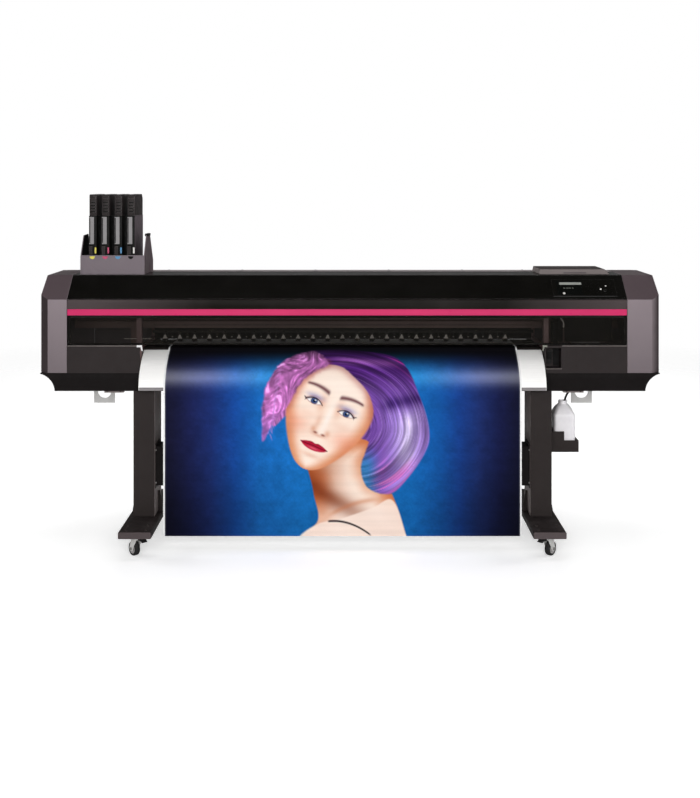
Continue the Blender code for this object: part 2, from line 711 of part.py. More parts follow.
def print_path():
    print_platen()
    media_guides()
    drive_roller()
    pinch_roller_unit()
    media_lever()


# ---------------------------------------------------------------- carriage, belt and pulleys
CARRIAGE_X0, CARRIAGE_X1 = 0.915, 1.150
CARRIAGE_ORIGIN = ((CARRIAGE_X0 + CARRIAGE_X1) / 2, -0.05, 0.95)
BAY_X0, BAY_X1 = CARRIAGE_X0 + 0.070, CARRIAGE_X1 - 0.045   # print head bay
BAY_Y0, BAY_Y1, BAY_Z1 = -0.110, -0.015, 0.875
HEAD_FIT = 0.0006      # gap between the print head and its bay
PULLEY_XS = {"belt_idler_pulley": -1.190, "belt_drive_pulley": 1.165}
PULLEY_R, PULLEY_Y, PULLEY_Z = 0.0140, 0.052, 1.0260


def carriage_group():
    """Carriage with its belt clamp, print head and cut-off blade carrier."""
    carriage = prism("carriage", [
        (-0.145, 0.862), (-0.008, 0.862), (-0.008, 0.896), (0.0255, 0.896),
        (0.0255, 1.004), (-0.060, 1.030), (-0.120, 1.030), (-0.145, 0.985),
    ], CARRIAGE_X0, CARRIAGE_X1, "X", DARK, bevel=0.002)
    clamp = box("belt_clamp", (1.015, 1.050, 0.010, 0.060, 1.0025, 1.0095))
    bay = box("head_bay", (BAY_X0, BAY_X1, BAY_Y0, BAY_Y1, 0.80, BAY_Z1))
    join(carriage, clamp)
    cut(carriage, bay)
    for obj in (carriage, clamp, bay):
        pivot(obj, CARRIAGE_ORIGIN)

    head = box("print_head", (
        BAY_X0 + HEAD_FIT, BAY_X1 - HEAD_FIT, BAY_Y0 + HEAD_FIT, BAY_Y1 - HEAD_FIT,
        0.8440, BAY_Z1 - HEAD_FIT,
    ), STEEL, bevel=0.001)
    pivot(head, CARRIAGE_ORIGIN, carriage)

    # on the carriage's left flank, tapering down to the blade's tip
    y0, y1, shoulder = -0.140, -0.112, 0.858
    x0, x1 = CARRIAGE_X0 - 0.0275, CARRIAGE_X0 - 0.0008
    cutter = prism("cutter_holder", [
        (x0, shoulder), (CARRIAGE_X0 - 0.0145, 0.8475), (CARRIAGE_X0 - 0.0115, 0.8475),
        (x1, shoulder), (x1, 0.950), (x0, 0.950),
    ], y0, y1, "Y", STEEL)
    pivot(cutter, (CARRIAGE_X0 - 0.014, (y0 + y1) / 2, shoulder), carriage)


def belt_loop(radius, steps=10):
    """x, z of a loop of this radius round both pulleys."""
    points = []
    for name, start in (("belt_drive_pulley", -90), ("belt_idler_pulley", 90)):
        for k in range(steps + 1):
            angle = math.radians(start + 180 * k / steps)
            points.append((PULLEY_XS[name] + radius * math.cos(angle),
                           PULLEY_Z + radius * math.sin(angle)))
    return points


def belt_and_pulleys():
    """The belt, in a vertical loop over the rail, and its two pulleys."""
    open_tube("carriage_belt", belt_loop(PULLEY_R + 0.0022), belt_loop(PULLEY_R + 0.0007),
              PULLEY_Y - 0.006, PULLEY_Y + 0.006, "Y", RUBBER)
    bore, flange = 0.004, PULLEY_R + 0.004
    for name, x in PULLEY_XS.items():
        pulley = turned(name, mirrored([
            (bore, -0.012), (flange, -0.012), (flange, -0.0075), (PULLEY_R, -0.0075),
        ]), "Y", 20, STEEL)
        pulley.location = (x, PULLEY_Y, PULLEY_Z)


# ---------------------------------------------------------------- maintenance station
def maintenance_station():
    """The block under the parked carriage, with a well for the head cap."""
    station = box("maintenance_station", (
        0.930, 1.145, -0.150, 0.012, Z_FLOOR, 0.826,
    ), DARK, bevel=0.002)
    cut(station, box("station_well", (0.985, 1.105, -0.112, -0.012, 0.778, 0.90)))
    cut(station, turned("drain_bore", rod(0.0095, Z_BOT - 0.01, 0.755), "Z", 16,
                        centre=(HOSE_X, HOSE_Y, 0)))


def head_cap():
    x0, x1, y0, y1, z0 = 0.9880, 1.1020, -0.1085, -0.0155, 0.7950
    wall = 0.008
    cap = box("head_cap", (x0, x1, y0, y1, z0, 0.8430), RUBBER, bevel=0.0015)
    well = box("cap_well", (x0 + wall, x1 - wall, y0 + wall, y1 - wall, 0.832, 0.90))
    cut(cap, well)
    for obj in (cap, well):
        pivot(obj, ((x0 + x1) / 2, (y0 + y1) / 2, z0))


# ---------------------------------------------------------------- ink station
CART_X0, CART_PITCH, CART_W = -1.1555, 0.0565, 0.034
CART_Y0, CART_Y1, CART_Z0, CART_Z1 = -0.105, 0.095, 1.163, 1.508
HOLDER_X0, HOLDER_X1, HOLDER_WALL = -1.190, -0.907, 0.004
SLOT_YZ = (-0.1160, 0.1010, 1.1605, 1.26)   # y0, y1, z0, z1 of the cartridge slots


def ink_holder():
    holder = prism("ink_holder", [
        (-0.120, Z_TOP + GAP), (-0.120, 1.234), (-0.062, 1.325), (0.020, 1.328),
        (0.105, 1.205), (0.105, Z_TOP + GAP),
    ], HOLDER_X0, HOLDER_X1, "X", COVER, bevel=0.0012)
    x0, x1 = HOLDER_X0 + HOLDER_WALL, HOLDER_X1 - HOLDER_WALL
    cut(holder, box("holder_room", (x0, x1, -0.1165, 0.300, 1.225, 1.50)))
    slots = []
    for k in range(len(INKS)):
        x = CART_X0 + k * CART_PITCH
        slots.append((x - 0.006, x + CART_W + 0.006, *SLOT_YZ))
    cut(holder, boxes("holder_slots", slots))
    # one more slot to the right of the cartridges
    cut(holder, box("holder_gate", (-0.945, x1, *SLOT_YZ)))
    # small notches along the foot of the front wall
    notches = []
    for k in range(5):
        x = -1.165 + k * 0.048
        notches.append((x, x + 0.020, -0.13, -0.1175, Z_TOP - 0.01, Z_TOP + 0.0055))
    cut(holder, boxes("holder_notches", notches))


def ink_cartridges():
    outline = [
        (CART_Y0, CART_Z0), (CART_Y0, 1.4120), (CART_Y0 + 0.004, 1.4140),
        (CART_Y0 + 0.004, CART_Z1 - 0.004), (CART_Y0 + 0.008, CART_Z1),
        (CART_Y1 - 0.018, CART_Z1), (CART_Y1, CART_Z1 - 0.022),
        (CART_Y1, CART_Z0 + 0.006), (CART_Y1 - 0.006, CART_Z0),
    ]
    for k, (ink, mat) in enumerate(INKS.items()):
        x = CART_X0 + k * CART_PITCH
        body = prism(f"ink_cartridge_{ink}", outline, x, x + CART_W, "X", mat, bevel=0.0012)
        pivot(body, (x + CART_W / 2, (CART_Y0 + CART_Y1) / 2, CART_Z0))


# ---------------------------------------------------------------- waste ink
BOTTLE_X, BOTTLE_Y = 0.9385, HOSE_Y
BOTTLE_Z0, BOTTLE_Z1 = 0.3920, 0.6010
BOTTLE_LEVELS = [   # half width, corner radius, z: up the outside, then down the inside
    (0.040, 0.010, BOTTLE_Z0), (0.0475, 0.014, BOTTLE_Z0 + 0.006), (0.0475, 0.014, 0.5400),
    (0.036, 0.020, 0.5680), (0.0225, 0.0225, 0.5860), (0.0195, 0.0195, 0.5880),
    (0.0195, 0.0195, BOTTLE_Z1), (0.0165, 0.0165, BOTTLE_Z1), (0.0165, 0.0165, 0.5850),
    (0.034, 0.018, 0.5650), (0.0455, 0.012, 0.5390), (0.0455, 0.012, BOTTLE_Z0 + 0.007),
    (0.039, 0.009, BOTTLE_Z0 + 0.0025),
]


def rounded_square(half, radius):
    """Sixteen x, y points of a rounded square round the bottle's axis."""
    points = []
    for quarter, (sign_x, sign_y) in enumerate(((1, 1), (-1, 1), (-1, -1), (1, -1))):
        for k in range(4):
            angle = math.radians(quarter * 90 + k * 30)
            points.append((
                BOTTLE_X + (half - radius) * sign_x + radius * math.cos(angle),
                BOTTLE_Y + (half - radius) * sign_y + radius * math.sin(angle),
            ))
    return points


def waste_bottle():
    mesh = bmesh.new()
    rings = [
        ring_at(mesh, rounded_square(half, radius), z, "Z") for half, radius, z in BOTTLE_LEVELS
    ]
    mesh.faces.new(rings[0])
    mesh.faces.new(rings[-1])
    for low, high in zip(rings, rings[1:]):
        bridge(mesh, low, high)
    bottle = keep("waste_bottle", mesh, BOTTLE, smooth=35)
    pivot(bottle, (BOTTLE_X, BOTTLE_Y, BOTTLE_Z0))


def waste_bottle_holder():
    """An open box on the outer face of the right leg, higher on the leg's side."""
    x0 = X_MID + LEG_DX + LEG_W / 2 + GAP
    holder = prism("waste_bottle_holder", [   # x, z
        (x0, 0.384), (0.9985, 0.384), (0.9985, 0.435), (0.9350, 0.435), (0.9350, 0.474),
        (x0, 0.474),
    ], BOTTLE_Y - 0.0545, BOTTLE_Y + 0.0545, "Y", BLACK)
    cut(holder, box("holder_well", (
        BOTTLE_X - 0.0495, BOTTLE_X + 0.0495, BOTTLE_Y - 0.0500, BOTTLE_Y + 0.0500,
        0.3885, 0.60,
    )))


def waste_tube():
    """A bent hose from the tray into the bottle's neck."""
    curve = bpy.data.curves.new("waste_tube", "CURVE")
    curve.dimensions = "3D"
    curve.bevel_depth = 0.0045
    curve.bevel_resolution = 1
    curve.resolution_u = 6
    curve.use_fill_caps = True
    path = [
        (HOSE_X, HOSE_Y, 0.742), (HOSE_X, HOSE_Y, 0.668),
        (BOTTLE_X + 0.012, BOTTLE_Y, 0.612), (BOTTLE_X, BOTTLE_Y, 0.560),
    ]
    spline = curve.splines.new("BEZIER")
    spline.bezier_points.add(len(path) - 1)
    for point, position in zip(spline.bezier_points, path):
        point.co = position
        point.handle_left_type = point.handle_right_type = "AUTO"
    add_object("waste_tube", curve, RUBBER)


# ---------------------------------------------------------------- control panel on the fascia
def on_fascia(x, along, out):
    """The point this far up the slope from the fascia's foot and this far off its surface."""
    point = FASCIA_FOOT + UPSLOPE * along - INWARD * out
    return (x, point.x, point.y)


def key(panel, name, x, along, radius):
    """A round key in a blind hole of the panel, moving square to the fascia."""
    cap = turned(name, [
        (0, 0), (radius, 0), (radius, 0.0018), (radius - 0.0008, 0.0026), (0, 0.0026),
    ], "Z", 20, GLOSS)
    well = turned(name + "_well", rod(radius + 0.0005, -0.0008, 0.01), "Z", 20)
    tilt = Matrix.Rotation(math.atan2(UPSLOPE.y, UPSLOPE.x), 4, "X")
    for obj in (cap, well):
        obj.data.transform(tilt)
        obj.location = on_fascia(x, along, 0.0012)
    cut(panel, well)


def control_panel():
    mesh = bmesh.new()
    bottom, top = (
        [mesh.verts.new(on_fascia(x, along, out)) for x, along in rect(0.880, 1.155, 0.018, 0.118)]
        for out in (0.0004, 0.0024)
    )
    capped(mesh, bottom, top)
    panel = keep("control_panel", mesh, GLOSS)
    key(panel, "power_key", x=0.927, along=0.034, radius=0.0055)
    key(panel, "enter_key", x=1.107, along=0.050, radius=0.0065)


# ---------------------------------------------------------------- media roll and its holder
ROLL_Y, ROLL_Z, ROLL_R, CORE_R = 0.360, 0.520, 0.084, 0.038
SHAFT_R, SHAFT_HALF = 0.012, 0.794
FLANGE_R = 0.090
ARM_OUT, ARM_T = 0.786, 0.008     # outer faces of the holder arms from X_MID, thickness


def media_roll():
    """The roll on a shaft with a flange and a core plug at each end."""
    flange = MEDIA_HALF + 0.0006
    plug_r = CORE_R - 0.0006
    shaft = turned("roll_shaft", mirrored([
        (0, -SHAFT_HALF), (SHAFT_R, -SHAFT_HALF), (SHAFT_R, -flange - 0.010),
        (FLANGE_R, -flange - 0.008), (FLANGE_R, -flange), (plug_r, -flange),
        (plug_r, -flange + 0.05), (SHAFT_R, -flange + 0.05),
    ]), "X", 24, STEEL)
    roll = turned("media_roll", mirrored([(CORE_R, -MEDIA_HALF), (ROLL_R, -MEDIA_HALF)]),
                  "X", 40, PAPER)
    for obj in (shaft, roll):
        obj.location = (X_MID, ROLL_Y, ROLL_Z)


def roll_holder_frame():
    """Two arms from the cross beam, joined by a bar, with saddles for the shaft."""
    x0, x1 = X_MID - ARM_OUT, X_MID + ARM_OUT
    arm = [   # y, z
        (BEAM_Y1 + GAP, 0.262), (-0.060, 0.262), (0.385, 0.470), (0.385, 0.545),
        (0.372, 0.545), (0.372, 0.520), (0.348, 0.520), (0.348, 0.545), (0.330, 0.545),
        (0.310, 0.505), (-0.060, 0.406), (BEAM_Y1 + GAP, 0.406),
    ]
    frame = prism("roll_holder_frame", arm, x0, x0 + ARM_T, "X", BLACK)
    join(frame, prism("far_arm", arm, x1 - ARM_T, x1, "X"))
    join(frame, box("holder_bar", (x0 + 0.004, x1 - 0.004, 0.060, 0.100, 0.355, 0.395)))
    cut(frame, turned("saddle_round", rod(SHAFT_R + 0.0008, -1.2, 1.2), "X", 24,
                      centre=(0, ROLL_Y, ROLL_Z), smooth=None))


# ---------------------------------------------------------------- the printed sheet
MEDIA_T = 0.0007
MEDIA_LIFT = 0.0009    # sheet above the guides' surface
MEDIA_END = 0.057      # free end of the sheet above the floor


def printed_media():
    """The sheet from the back of the roll, over the guides and platen, to its free end."""
    radius = ROLL_R + 0.0012
    rear_line = offset_line(REAR_CURVE, MEDIA_LIFT)
    front_line = offset_line(FRONT_CURVE, -MEDIA_LIFT)
    # the line from the end of the back guide that touches the roll
    dy, dz = ROLL_Y - rear_line[-1][0], ROLL_Z - rear_line[-1][1]
    touch = math.atan2(-dz, -dy) - math.acos(radius / math.hypot(dy, dz))
    line = []
    for degrees in (30, 20, 10, 0):   # along the roll up to the point of contact
        angle = touch - math.radians(degrees)
        line.append((ROLL_Y + radius * math.cos(angle), ROLL_Z + radius * math.sin(angle)))
    line += rear_line[::-1]
    line += [
        (0.012, PLATEN_Z + 0.0006), (PLATEN_Y0 + 0.004, PLATEN_Z + 0.0006),
        (PLATEN_Y0 - 0.007, PLATEN_Z - 0.0015),
    ]
    line += front_line[2:]
    hang_y = front_line[-1][0]
    line += [(hang_y - 0.0005, 0.60), (hang_y - 0.0005, 0.35), (hang_y, MEDIA_END)]
    prism("printed_media", strip(line, -MEDIA_T), X_MID - MEDIA_HALF, X_MID + MEDIA_HALF,
          "X", PRINT, smooth=30)


# ---------------------------------------------------------------- the whole machine
stand()
base_tray()
lifting_rail()
covers()
front_cover()
inner_frame()
print_path()
carriage_group()
belt_and_pulleys()
maintenance_station()
head_cap()
ink_holder()
ink_cartridges()
waste_bottle()
waste_bottle_holder()
waste_tube()
control_panel()
media_roll()
roll_holder_frame()
printed_media()
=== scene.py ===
"""Looks of the wide-format roll printer: fine meshes, procedural materials, floor, light and camera."""
import json
import math

import bmesh
import bpy
import numpy as np
from mathutils import Matrix, Vector

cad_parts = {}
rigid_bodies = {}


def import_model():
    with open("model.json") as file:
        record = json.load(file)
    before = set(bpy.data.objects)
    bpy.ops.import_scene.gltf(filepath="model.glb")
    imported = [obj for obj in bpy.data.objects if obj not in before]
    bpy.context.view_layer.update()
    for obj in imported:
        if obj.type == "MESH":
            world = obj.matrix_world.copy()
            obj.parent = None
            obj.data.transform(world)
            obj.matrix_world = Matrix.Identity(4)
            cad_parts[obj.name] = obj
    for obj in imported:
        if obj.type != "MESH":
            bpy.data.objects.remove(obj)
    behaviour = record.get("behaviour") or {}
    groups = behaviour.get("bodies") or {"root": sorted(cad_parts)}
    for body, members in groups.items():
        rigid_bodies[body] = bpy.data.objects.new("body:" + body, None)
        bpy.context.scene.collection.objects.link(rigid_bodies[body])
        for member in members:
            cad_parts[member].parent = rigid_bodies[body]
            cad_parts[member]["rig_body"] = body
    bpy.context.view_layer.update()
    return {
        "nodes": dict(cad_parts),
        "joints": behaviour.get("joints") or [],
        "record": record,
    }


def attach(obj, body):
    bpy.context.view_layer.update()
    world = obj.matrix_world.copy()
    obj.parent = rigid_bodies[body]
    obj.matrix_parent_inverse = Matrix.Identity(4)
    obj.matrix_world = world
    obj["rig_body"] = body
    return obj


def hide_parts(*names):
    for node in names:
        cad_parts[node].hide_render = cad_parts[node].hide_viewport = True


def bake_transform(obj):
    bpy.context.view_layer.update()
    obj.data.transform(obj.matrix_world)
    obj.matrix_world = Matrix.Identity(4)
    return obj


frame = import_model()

SCN = bpy.context.scene
LINK = SCN.collection.objects.link
NODES = frame["nodes"]
JOINT = {j["name"]: j for j in frame["joints"]}
BODY = {n: b for b, ns in frame["record"]["behaviour"]["bodies"].items() for n in ns}

# ------------------------------------------------------------------ shared dimensions (metres)
XC = -0.032
X_CAP_L, X_CAP_R = -1.220, 1.195
X_FACE, X_SIDE, X_OUT = 1.302, 1.336, 1.350
Y_FRONT, Y_TOPF, Y_TOPR, Y_BACK = -0.240, -0.130, 0.160, 0.300
Z_BOT, Z_SPLIT, Z_SILL, Z_FASC, Z_TOP, Z_BACKTOP = 0.660, 0.740, 0.858, 1.057, 1.154, 1.050
GAP = 0.0004
GUIDE_HALF, MEDIA_HALF, PLATEN_Z = 0.868, 0.762, 0.840
ROLL_Y, ROLL_Z, ROLL_R, CORE_R = 0.360, 0.520, 0.084, 0.038
MEDIA_T, MEDIA_END = 0.0007, 0.057
LEG_DX, LEG_W, LEG_Y0, LEG_Y1 = 0.858, 0.092, -0.225, -0.050


# ------------------------------------------------------------------ materials
def lin(r, g, b):
    f = lambda c: (c / 12.92 if c <= 0.04045 else ((c + 0.055) / 1.055) ** 2.4)
    return tuple(f(c / 255.0) for c in (r, g, b))


class Tree:
    """A small helper that wires one material's nodes in object space, in metres."""

    def __init__(self, name):
        self.m = bpy.data.materials.new(name)
        self.m.use_nodes = True
        self.t = self.m.node_tree
        self.p = self.t.nodes["Principled BSDF"]
        self.co = self.t.nodes.new("ShaderNodeTexCoord").outputs["Object"]

    def n(self, kind, **kw):
        node = self.t.nodes.new(kind)
        for k, v in kw.items():
            setattr(node, k, v)
        return node

    def link(self, a, b):
        self.t.links.new(a, b)

    def put(self, sock, v):
        if isinstance(v, bpy.types.NodeSocket):
            self.link(v, sock)
        elif sock.type == "RGBA" and not hasattr(v, "__len__"):
            sock.default_value = (v, v, v, 1)
        elif sock.type == "RGBA" and len(v) == 3:
            sock.default_value = (*v, 1)
        else:
            sock.default_value = v

    def noise(self, scale, detail=3.0, rough=0.55, stretch=None, distort=0.0):
        co = self.co
        if stretch:
            mp = self.n("ShaderNodeMapping")
            self.link(co, mp.inputs["Vector"])
            mp.inputs["Scale"].default_value = stretch
            co = mp.outputs[0]
        nz = self.n("ShaderNodeTexNoise")
        self.link(co, nz.inputs["Vector"])
        nz.inputs["Scale"].default_value = scale
        nz.inputs["Detail"].default_value = detail
        nz.inputs["Roughness"].default_value = rough
        nz.inputs["Distortion"].default_value = distort
        return nz.outputs["Fac"]

    def math(self, op, a, b=0.0, c=None, clamp=False):
        nd = self.n("ShaderNodeMath", operation=op, use_clamp=clamp)
        self.put(nd.inputs[0], a)
        self.put(nd.inputs[1], b)
        if c is not None:
            self.put(nd.inputs[2], c)
        return nd.outputs[0]

    def ramp(self, v, lo, hi, a=0.0, b=1.0):
        nd = self.n("ShaderNodeMapRange", clamp=True)
        self.put(nd.inputs[0], v)
        for i, x in enumerate((lo, hi, a, b)):
            nd.inputs[i + 1].default_value = x
        return nd.outputs[0]

    def mix(self, f, a, b, mode="MIX"):
        nd = self.n("ShaderNodeMix", data_type="RGBA", blend_type=mode)
        self.put(nd.inputs[0], f)
        self.put(nd.inputs[6], a)
        self.put(nd.inputs[7], b)
        return nd.outputs[2]

    def bump(self, height, dist, strength=1.0, under=None):
        nd = self.n("ShaderNodeBump")
        nd.inputs["Strength"].default_value = strength
        nd.inputs["Distance"].default_value = dist
        self.put(nd.inputs["Height"], height)
        if under is not None:
            self.link(under, nd.inputs["Normal"])
        return nd.outputs[0]

    def edge(self, radius):
        """1 near an outer edge, from the difference between the rounded and the plain normal."""
        bv = self.n("ShaderNodeBevel", samples=3)
        bv.inputs["Radius"].default_value = radius
        ge = self.n("ShaderNodeNewGeometry")
        dt = self.n("ShaderNodeVectorMath", operation="DOT_PRODUCT")
        self.link(bv.outputs[0], dt.inputs[0])
        self.link(ge.outputs["Normal"], dt.inputs[1])
        return self.ramp(dt.outputs["Value"], 0.985, 0.80, 0.0, 1.0)

    def normal_z(self):
        ge = self.n("ShaderNodeNewGeometry")
        sp = self.n("ShaderNodeSeparateXYZ")
        self.link(ge.outputs["Normal"], sp.inputs[0])
        return sp.outputs["Z"]

    def xyz(self):
        sp = self.n("ShaderNodeSeparateXYZ")
        self.link(self.co, sp.inputs[0])
        return sp.outputs


def surface(name, rgb, rough=0.45, metal=0.0, var=0.10, grain=900.0, grain_d=0.00012, blotch=3.0, wear_and_edge_highlight=0.0, wear_and_edge_highlight_rgb=None,
            dust=0.0, coat=0.0, rough_var=0.10, brushed=None, spec=0.5, orange=0.0, streak=0.0, zfade=None):
    """A moulded, painted or metal surface: colour drift, fine texture, uneven gloss, worn edges with a painted edge
    highlight, a little dust, and where asked a painted shade that darkens towards the bottom.
    """
    t = Tree(name)
    base = lin(*rgb)
    dark = tuple(c * (1 - var) for c in base)
    light = tuple(min(1, c * (1 + var) + 0.002) for c in base)
    col = t.mix(t.ramp(t.noise(blotch, 4, 0.6), 0.3, 0.7), dark, light)
    fine = t.noise(grain, 2, 0.6)
    col = t.mix(t.ramp(fine, 0.25, 0.75, 0.0, 0.35), col, t.mix(0.5, col, tuple(c * (1 - 2.2 * var) for c in base)))
    if streak:
        s = t.noise(1.0, 3, 0.5, stretch=(1.2, 40, 4))
        col = t.mix(t.ramp(s, 0.45, 0.75, 0.0, streak), col, tuple(min(1, c * 1.5 + 0.01) for c in base))
    # painted shade: the colour darkens towards the bottom
    if zfade:
        col = t.mix(t.ramp(t.xyz()["Z"], zfade[0], zfade[1], 1.0, 0.0), col, t.mix(1.0, col, (zfade[2],) * 3, "MULTIPLY"))
    if dust:
        up = t.ramp(t.normal_z(), 0.35, 1.0)
        d = t.math("MULTIPLY", up, t.ramp(t.noise(9.0, 6, 0.7), 0.38, 0.75, 0.0, dust))
        col = t.mix(d, col, lin(176, 170, 168))
    # worn edges with a painted edge highlight: every edge takes part of the edge colour, more where the noise is high
    if wear_and_edge_highlight:
        e = t.math("MULTIPLY", t.edge(0.0022), t.ramp(t.noise(38.0, 4, 0.7), 0.30, 0.62, wear_and_edge_highlight * 0.35, wear_and_edge_highlight))
        col = t.mix(e, col, lin(*(wear_and_edge_highlight_rgb or (190, 186, 184))))
    t.put(t.p.inputs["Base Color"], col)
    r = t.ramp(t.noise(26.0, 5, 0.65), 0.3, 0.7, max(0.02, rough - rough_var), min(1, rough + rough_var))
    t.put(t.p.inputs["Roughness"], r)
    t.p.inputs["Metallic"].default_value = metal
    t.p.inputs["Specular IOR Level"].default_value = spec
    h = fine
    nrm = None
    if brushed:
        b = t.noise(1.0, 4, 0.7, stretch=brushed)
        nrm = t.bump(b, 0.00010)
        t.put(t.p.inputs["Roughness"], t.math("ADD", r, t.ramp(b, 0.3, 0.7, -0.05, 0.07)))
    if orange:
        nrm = t.bump(t.noise(160.0, 1, 0.4), orange, 1.0, nrm)
    nrm = t.bump(h, grain_d * 0.35, 1.0, nrm)
    t.link(nrm, t.p.inputs["Normal"])
    if coat:
        t.p.inputs["Coat Weight"].default_value = coat
        t.p.inputs["Coat Roughness"].default_value = 0.04
    return t.m


M = {}
# the cover paint darkens towards the bottom (zfade): painted shade
M["cover"] = surface("cover_paint", (136, 124, 129), 0.55, var=0.05, grain=1300, grain_d=0.00010, blotch=2.0, wear_and_edge_highlight=0.30, wear_and_edge_highlight_rgb=(196, 190, 191), dust=0.06, orange=0.00006, spec=0.3, zfade=(0.74, 1.06, 0.66))
M["cover_plate"] = surface("cover_paint_plate", (116, 106, 112), 0.55, var=0.05, grain=1300, grain_d=0.00010, blotch=2.0, wear_and_edge_highlight=0.30, wear_and_edge_highlight_rgb=(180, 174, 175), dust=0.04, orange=0.00006, spec=0.2)
# darker copies of the cover paint for the brow, chamfers and top of the end covers: painted shade
M["cover_brow"] = surface("cover_brow_painted_shade", (84, 72, 76), 0.50, var=0.05, grain=1300, grain_d=0.00010, blotch=2.0, wear_and_edge_highlight=0.30, wear_and_edge_highlight_rgb=(170, 164, 165), orange=0.00006, spec=0.25)
M["cover_chamfer"] = surface("cover_chamfer_painted_shade", (52, 44, 46), 0.50, var=0.08, grain=1300, grain_d=0.00010, blotch=3.0, wear_and_edge_highlight=0.14, wear_and_edge_highlight_rgb=(120, 112, 114), orange=0.00006, spec=0.22)
M["cover_top"] = surface("cover_top_painted_shade", (92, 84, 86), 0.58, var=0.05, grain=1300, grain_d=0.00010, blotch=2.2, wear_and_edge_highlight=0.3, wear_and_edge_highlight_rgb=(170, 164, 165), dust=0.08, orange=0.00006, spec=0.12)
M["lid_top"] = surface("lid_top_paint", (56, 50, 50), 0.55, var=0.06, grain=1300, grain_d=0.00010, blotch=2.2, wear_and_edge_highlight=0.3, wear_and_edge_highlight_rgb=(130, 122, 122), dust=0.06, orange=0.00006, spec=0.12)
M["panel"] = surface("panel_dark_grey", (42, 36, 36), 0.56, var=0.08, grain=1300, grain_d=0.00010, wear_and_edge_highlight=0.3, wear_and_edge_highlight_rgb=(104, 96, 95), orange=0.00005, spec=0.14)
M["black"] = surface("base_powder_black", (17, 13, 13), 0.60, var=0.12, grain=700, grain_d=0.00016, wear_and_edge_highlight=0.30, wear_and_edge_highlight_rgb=(84, 78, 76), dust=0.02, orange=0.00012, spec=0.10)
M["leg"] = surface("stand_powder_black", (42, 36, 35), 0.58, var=0.09, grain=650, grain_d=0.00018, wear_and_edge_highlight=0.40, wear_and_edge_highlight_rgb=(118, 110, 108), dust=0.05, orange=0.00014, spec=0.14)
# a lighter copy of the stand paint for the legs' inner faces: painted light
M["leg_in"] = surface("stand_powder_painted_light", (124, 114, 113), 0.56, var=0.08, grain=650, grain_d=0.00018, wear_and_edge_highlight=0.3, wear_and_edge_highlight_rgb=(160, 152, 150), orange=0.00014, spec=0.15)
# foot fronts in a lighter copy and foot tops in a darker copy of the stand paint: painted light and shade
M["foot_front"] = surface("foot_front_painted_light", (78, 69, 70), 0.56, var=0.08, grain=650, grain_d=0.00018, wear_and_edge_highlight=0.5, wear_and_edge_highlight_rgb=(140, 132, 130), orange=0.00014, spec=0.15)
M["foot_top"] = surface("foot_top_painted_shade", (38, 32, 32), 0.58, var=0.10, grain=650, grain_d=0.00018, wear_and_edge_highlight=0.35, wear_and_edge_highlight_rgb=(104, 97, 95), dust=0.06, orange=0.00014, spec=0.12)
M["gloss"] = surface("fascia_gloss_black", (9, 8, 6), 0.12, var=0.12, grain=500, grain_d=0.00001, coat=0.6, rough_var=0.03, dust=0.01, wear_and_edge_highlight=0.10, spec=0.4)
M["pink"] = surface("trim_magenta", (204, 38, 98), 0.36, var=0.06, grain=900, grain_d=0.00004, coat=0.08, wear_and_edge_highlight=0.22, wear_and_edge_highlight_rgb=(226, 120, 158), streak=0.04, spec=0.2)
M["alu"] = surface("guide_white_coat", (250, 249, 247), 0.42, metal=0.0, var=0.015, grain=800, grain_d=0.00006, wear_and_edge_highlight=0.35, wear_and_edge_highlight_rgb=(176, 173, 171), brushed=(3, 260, 260), spec=0.35)
M["alu_edge"] = surface("guide_bare_edge", (132, 128, 129), 0.40, metal=0.4, var=0.05, brushed=(3, 400, 400), wear_and_edge_highlight=0.3)
M["steel"] = surface("machined_steel", (150, 148, 146), 0.34, metal=1.0, var=0.06, grain=1200, grain_d=0.00004, brushed=(400, 8, 8), wear_and_edge_highlight=0.3)
M["steel_x"] = surface("ground_steel_shaft", (170, 169, 168), 0.28, metal=1.0, var=0.05, grain=1200, grain_d=0.00003, brushed=(4, 500, 500), wear_and_edge_highlight=0.2)
M["zinc"] = surface("zinc_plate", (206, 205, 203), 0.44, metal=0.25, var=0.08, grain=90, grain_d=0.00003, blotch=22, rough_var=0.14, wear_and_edge_highlight=0.3)
M["dark"] = surface("inner_dark_sheet", (22, 18, 17), 0.60, var=0.14, grain=900, grain_d=0.00012, wear_and_edge_highlight=0.4, wear_and_edge_highlight_rgb=(84, 74, 70), orange=0.00010, spec=0.25)
M["post"] = surface("inner_frame_paint", (156, 128, 126), 0.5, var=0.08, grain=900, grain_d=0.00012, wear_and_edge_highlight=0.3, wear_and_edge_highlight_rgb=(180, 170, 168), orange=0.00010, spec=0.25)
M["rail"] = surface("rail_anodised", (126, 100, 94), 0.46, metal=0.2, var=0.10, brushed=(4, 350, 350), wear_and_edge_highlight=0.3, wear_and_edge_highlight_rgb=(170, 150, 142))
M["arm"] = surface("pinch_arm_black", (34, 31, 29), 0.5, var=0.12, grain=900, grain_d=0.00010, wear_and_edge_highlight=0.25, wear_and_edge_highlight_rgb=(96, 90, 86), spec=0.3)
M["arm_light"] = surface("pinch_fork_grey", (226, 216, 206), 0.42, var=0.10, grain=900, grain_d=0.00010, wear_and_edge_highlight=0.3, wear_and_edge_highlight_rgb=(236, 230, 224))
M["inner"] = surface("inner_moulding", (38, 34, 33), 0.56, var=0.09, grain=1000, grain_d=0.00012, wear_and_edge_highlight=0.25, wear_and_edge_highlight_rgb=(104, 98, 95), spec=0.15)
M["carriage"] = surface("carriage_moulding", (24, 21, 20), 0.58, var=0.10, grain=1000, grain_d=0.00012, wear_and_edge_highlight=0.22, wear_and_edge_highlight_rgb=(84, 78, 75), spec=0.08)
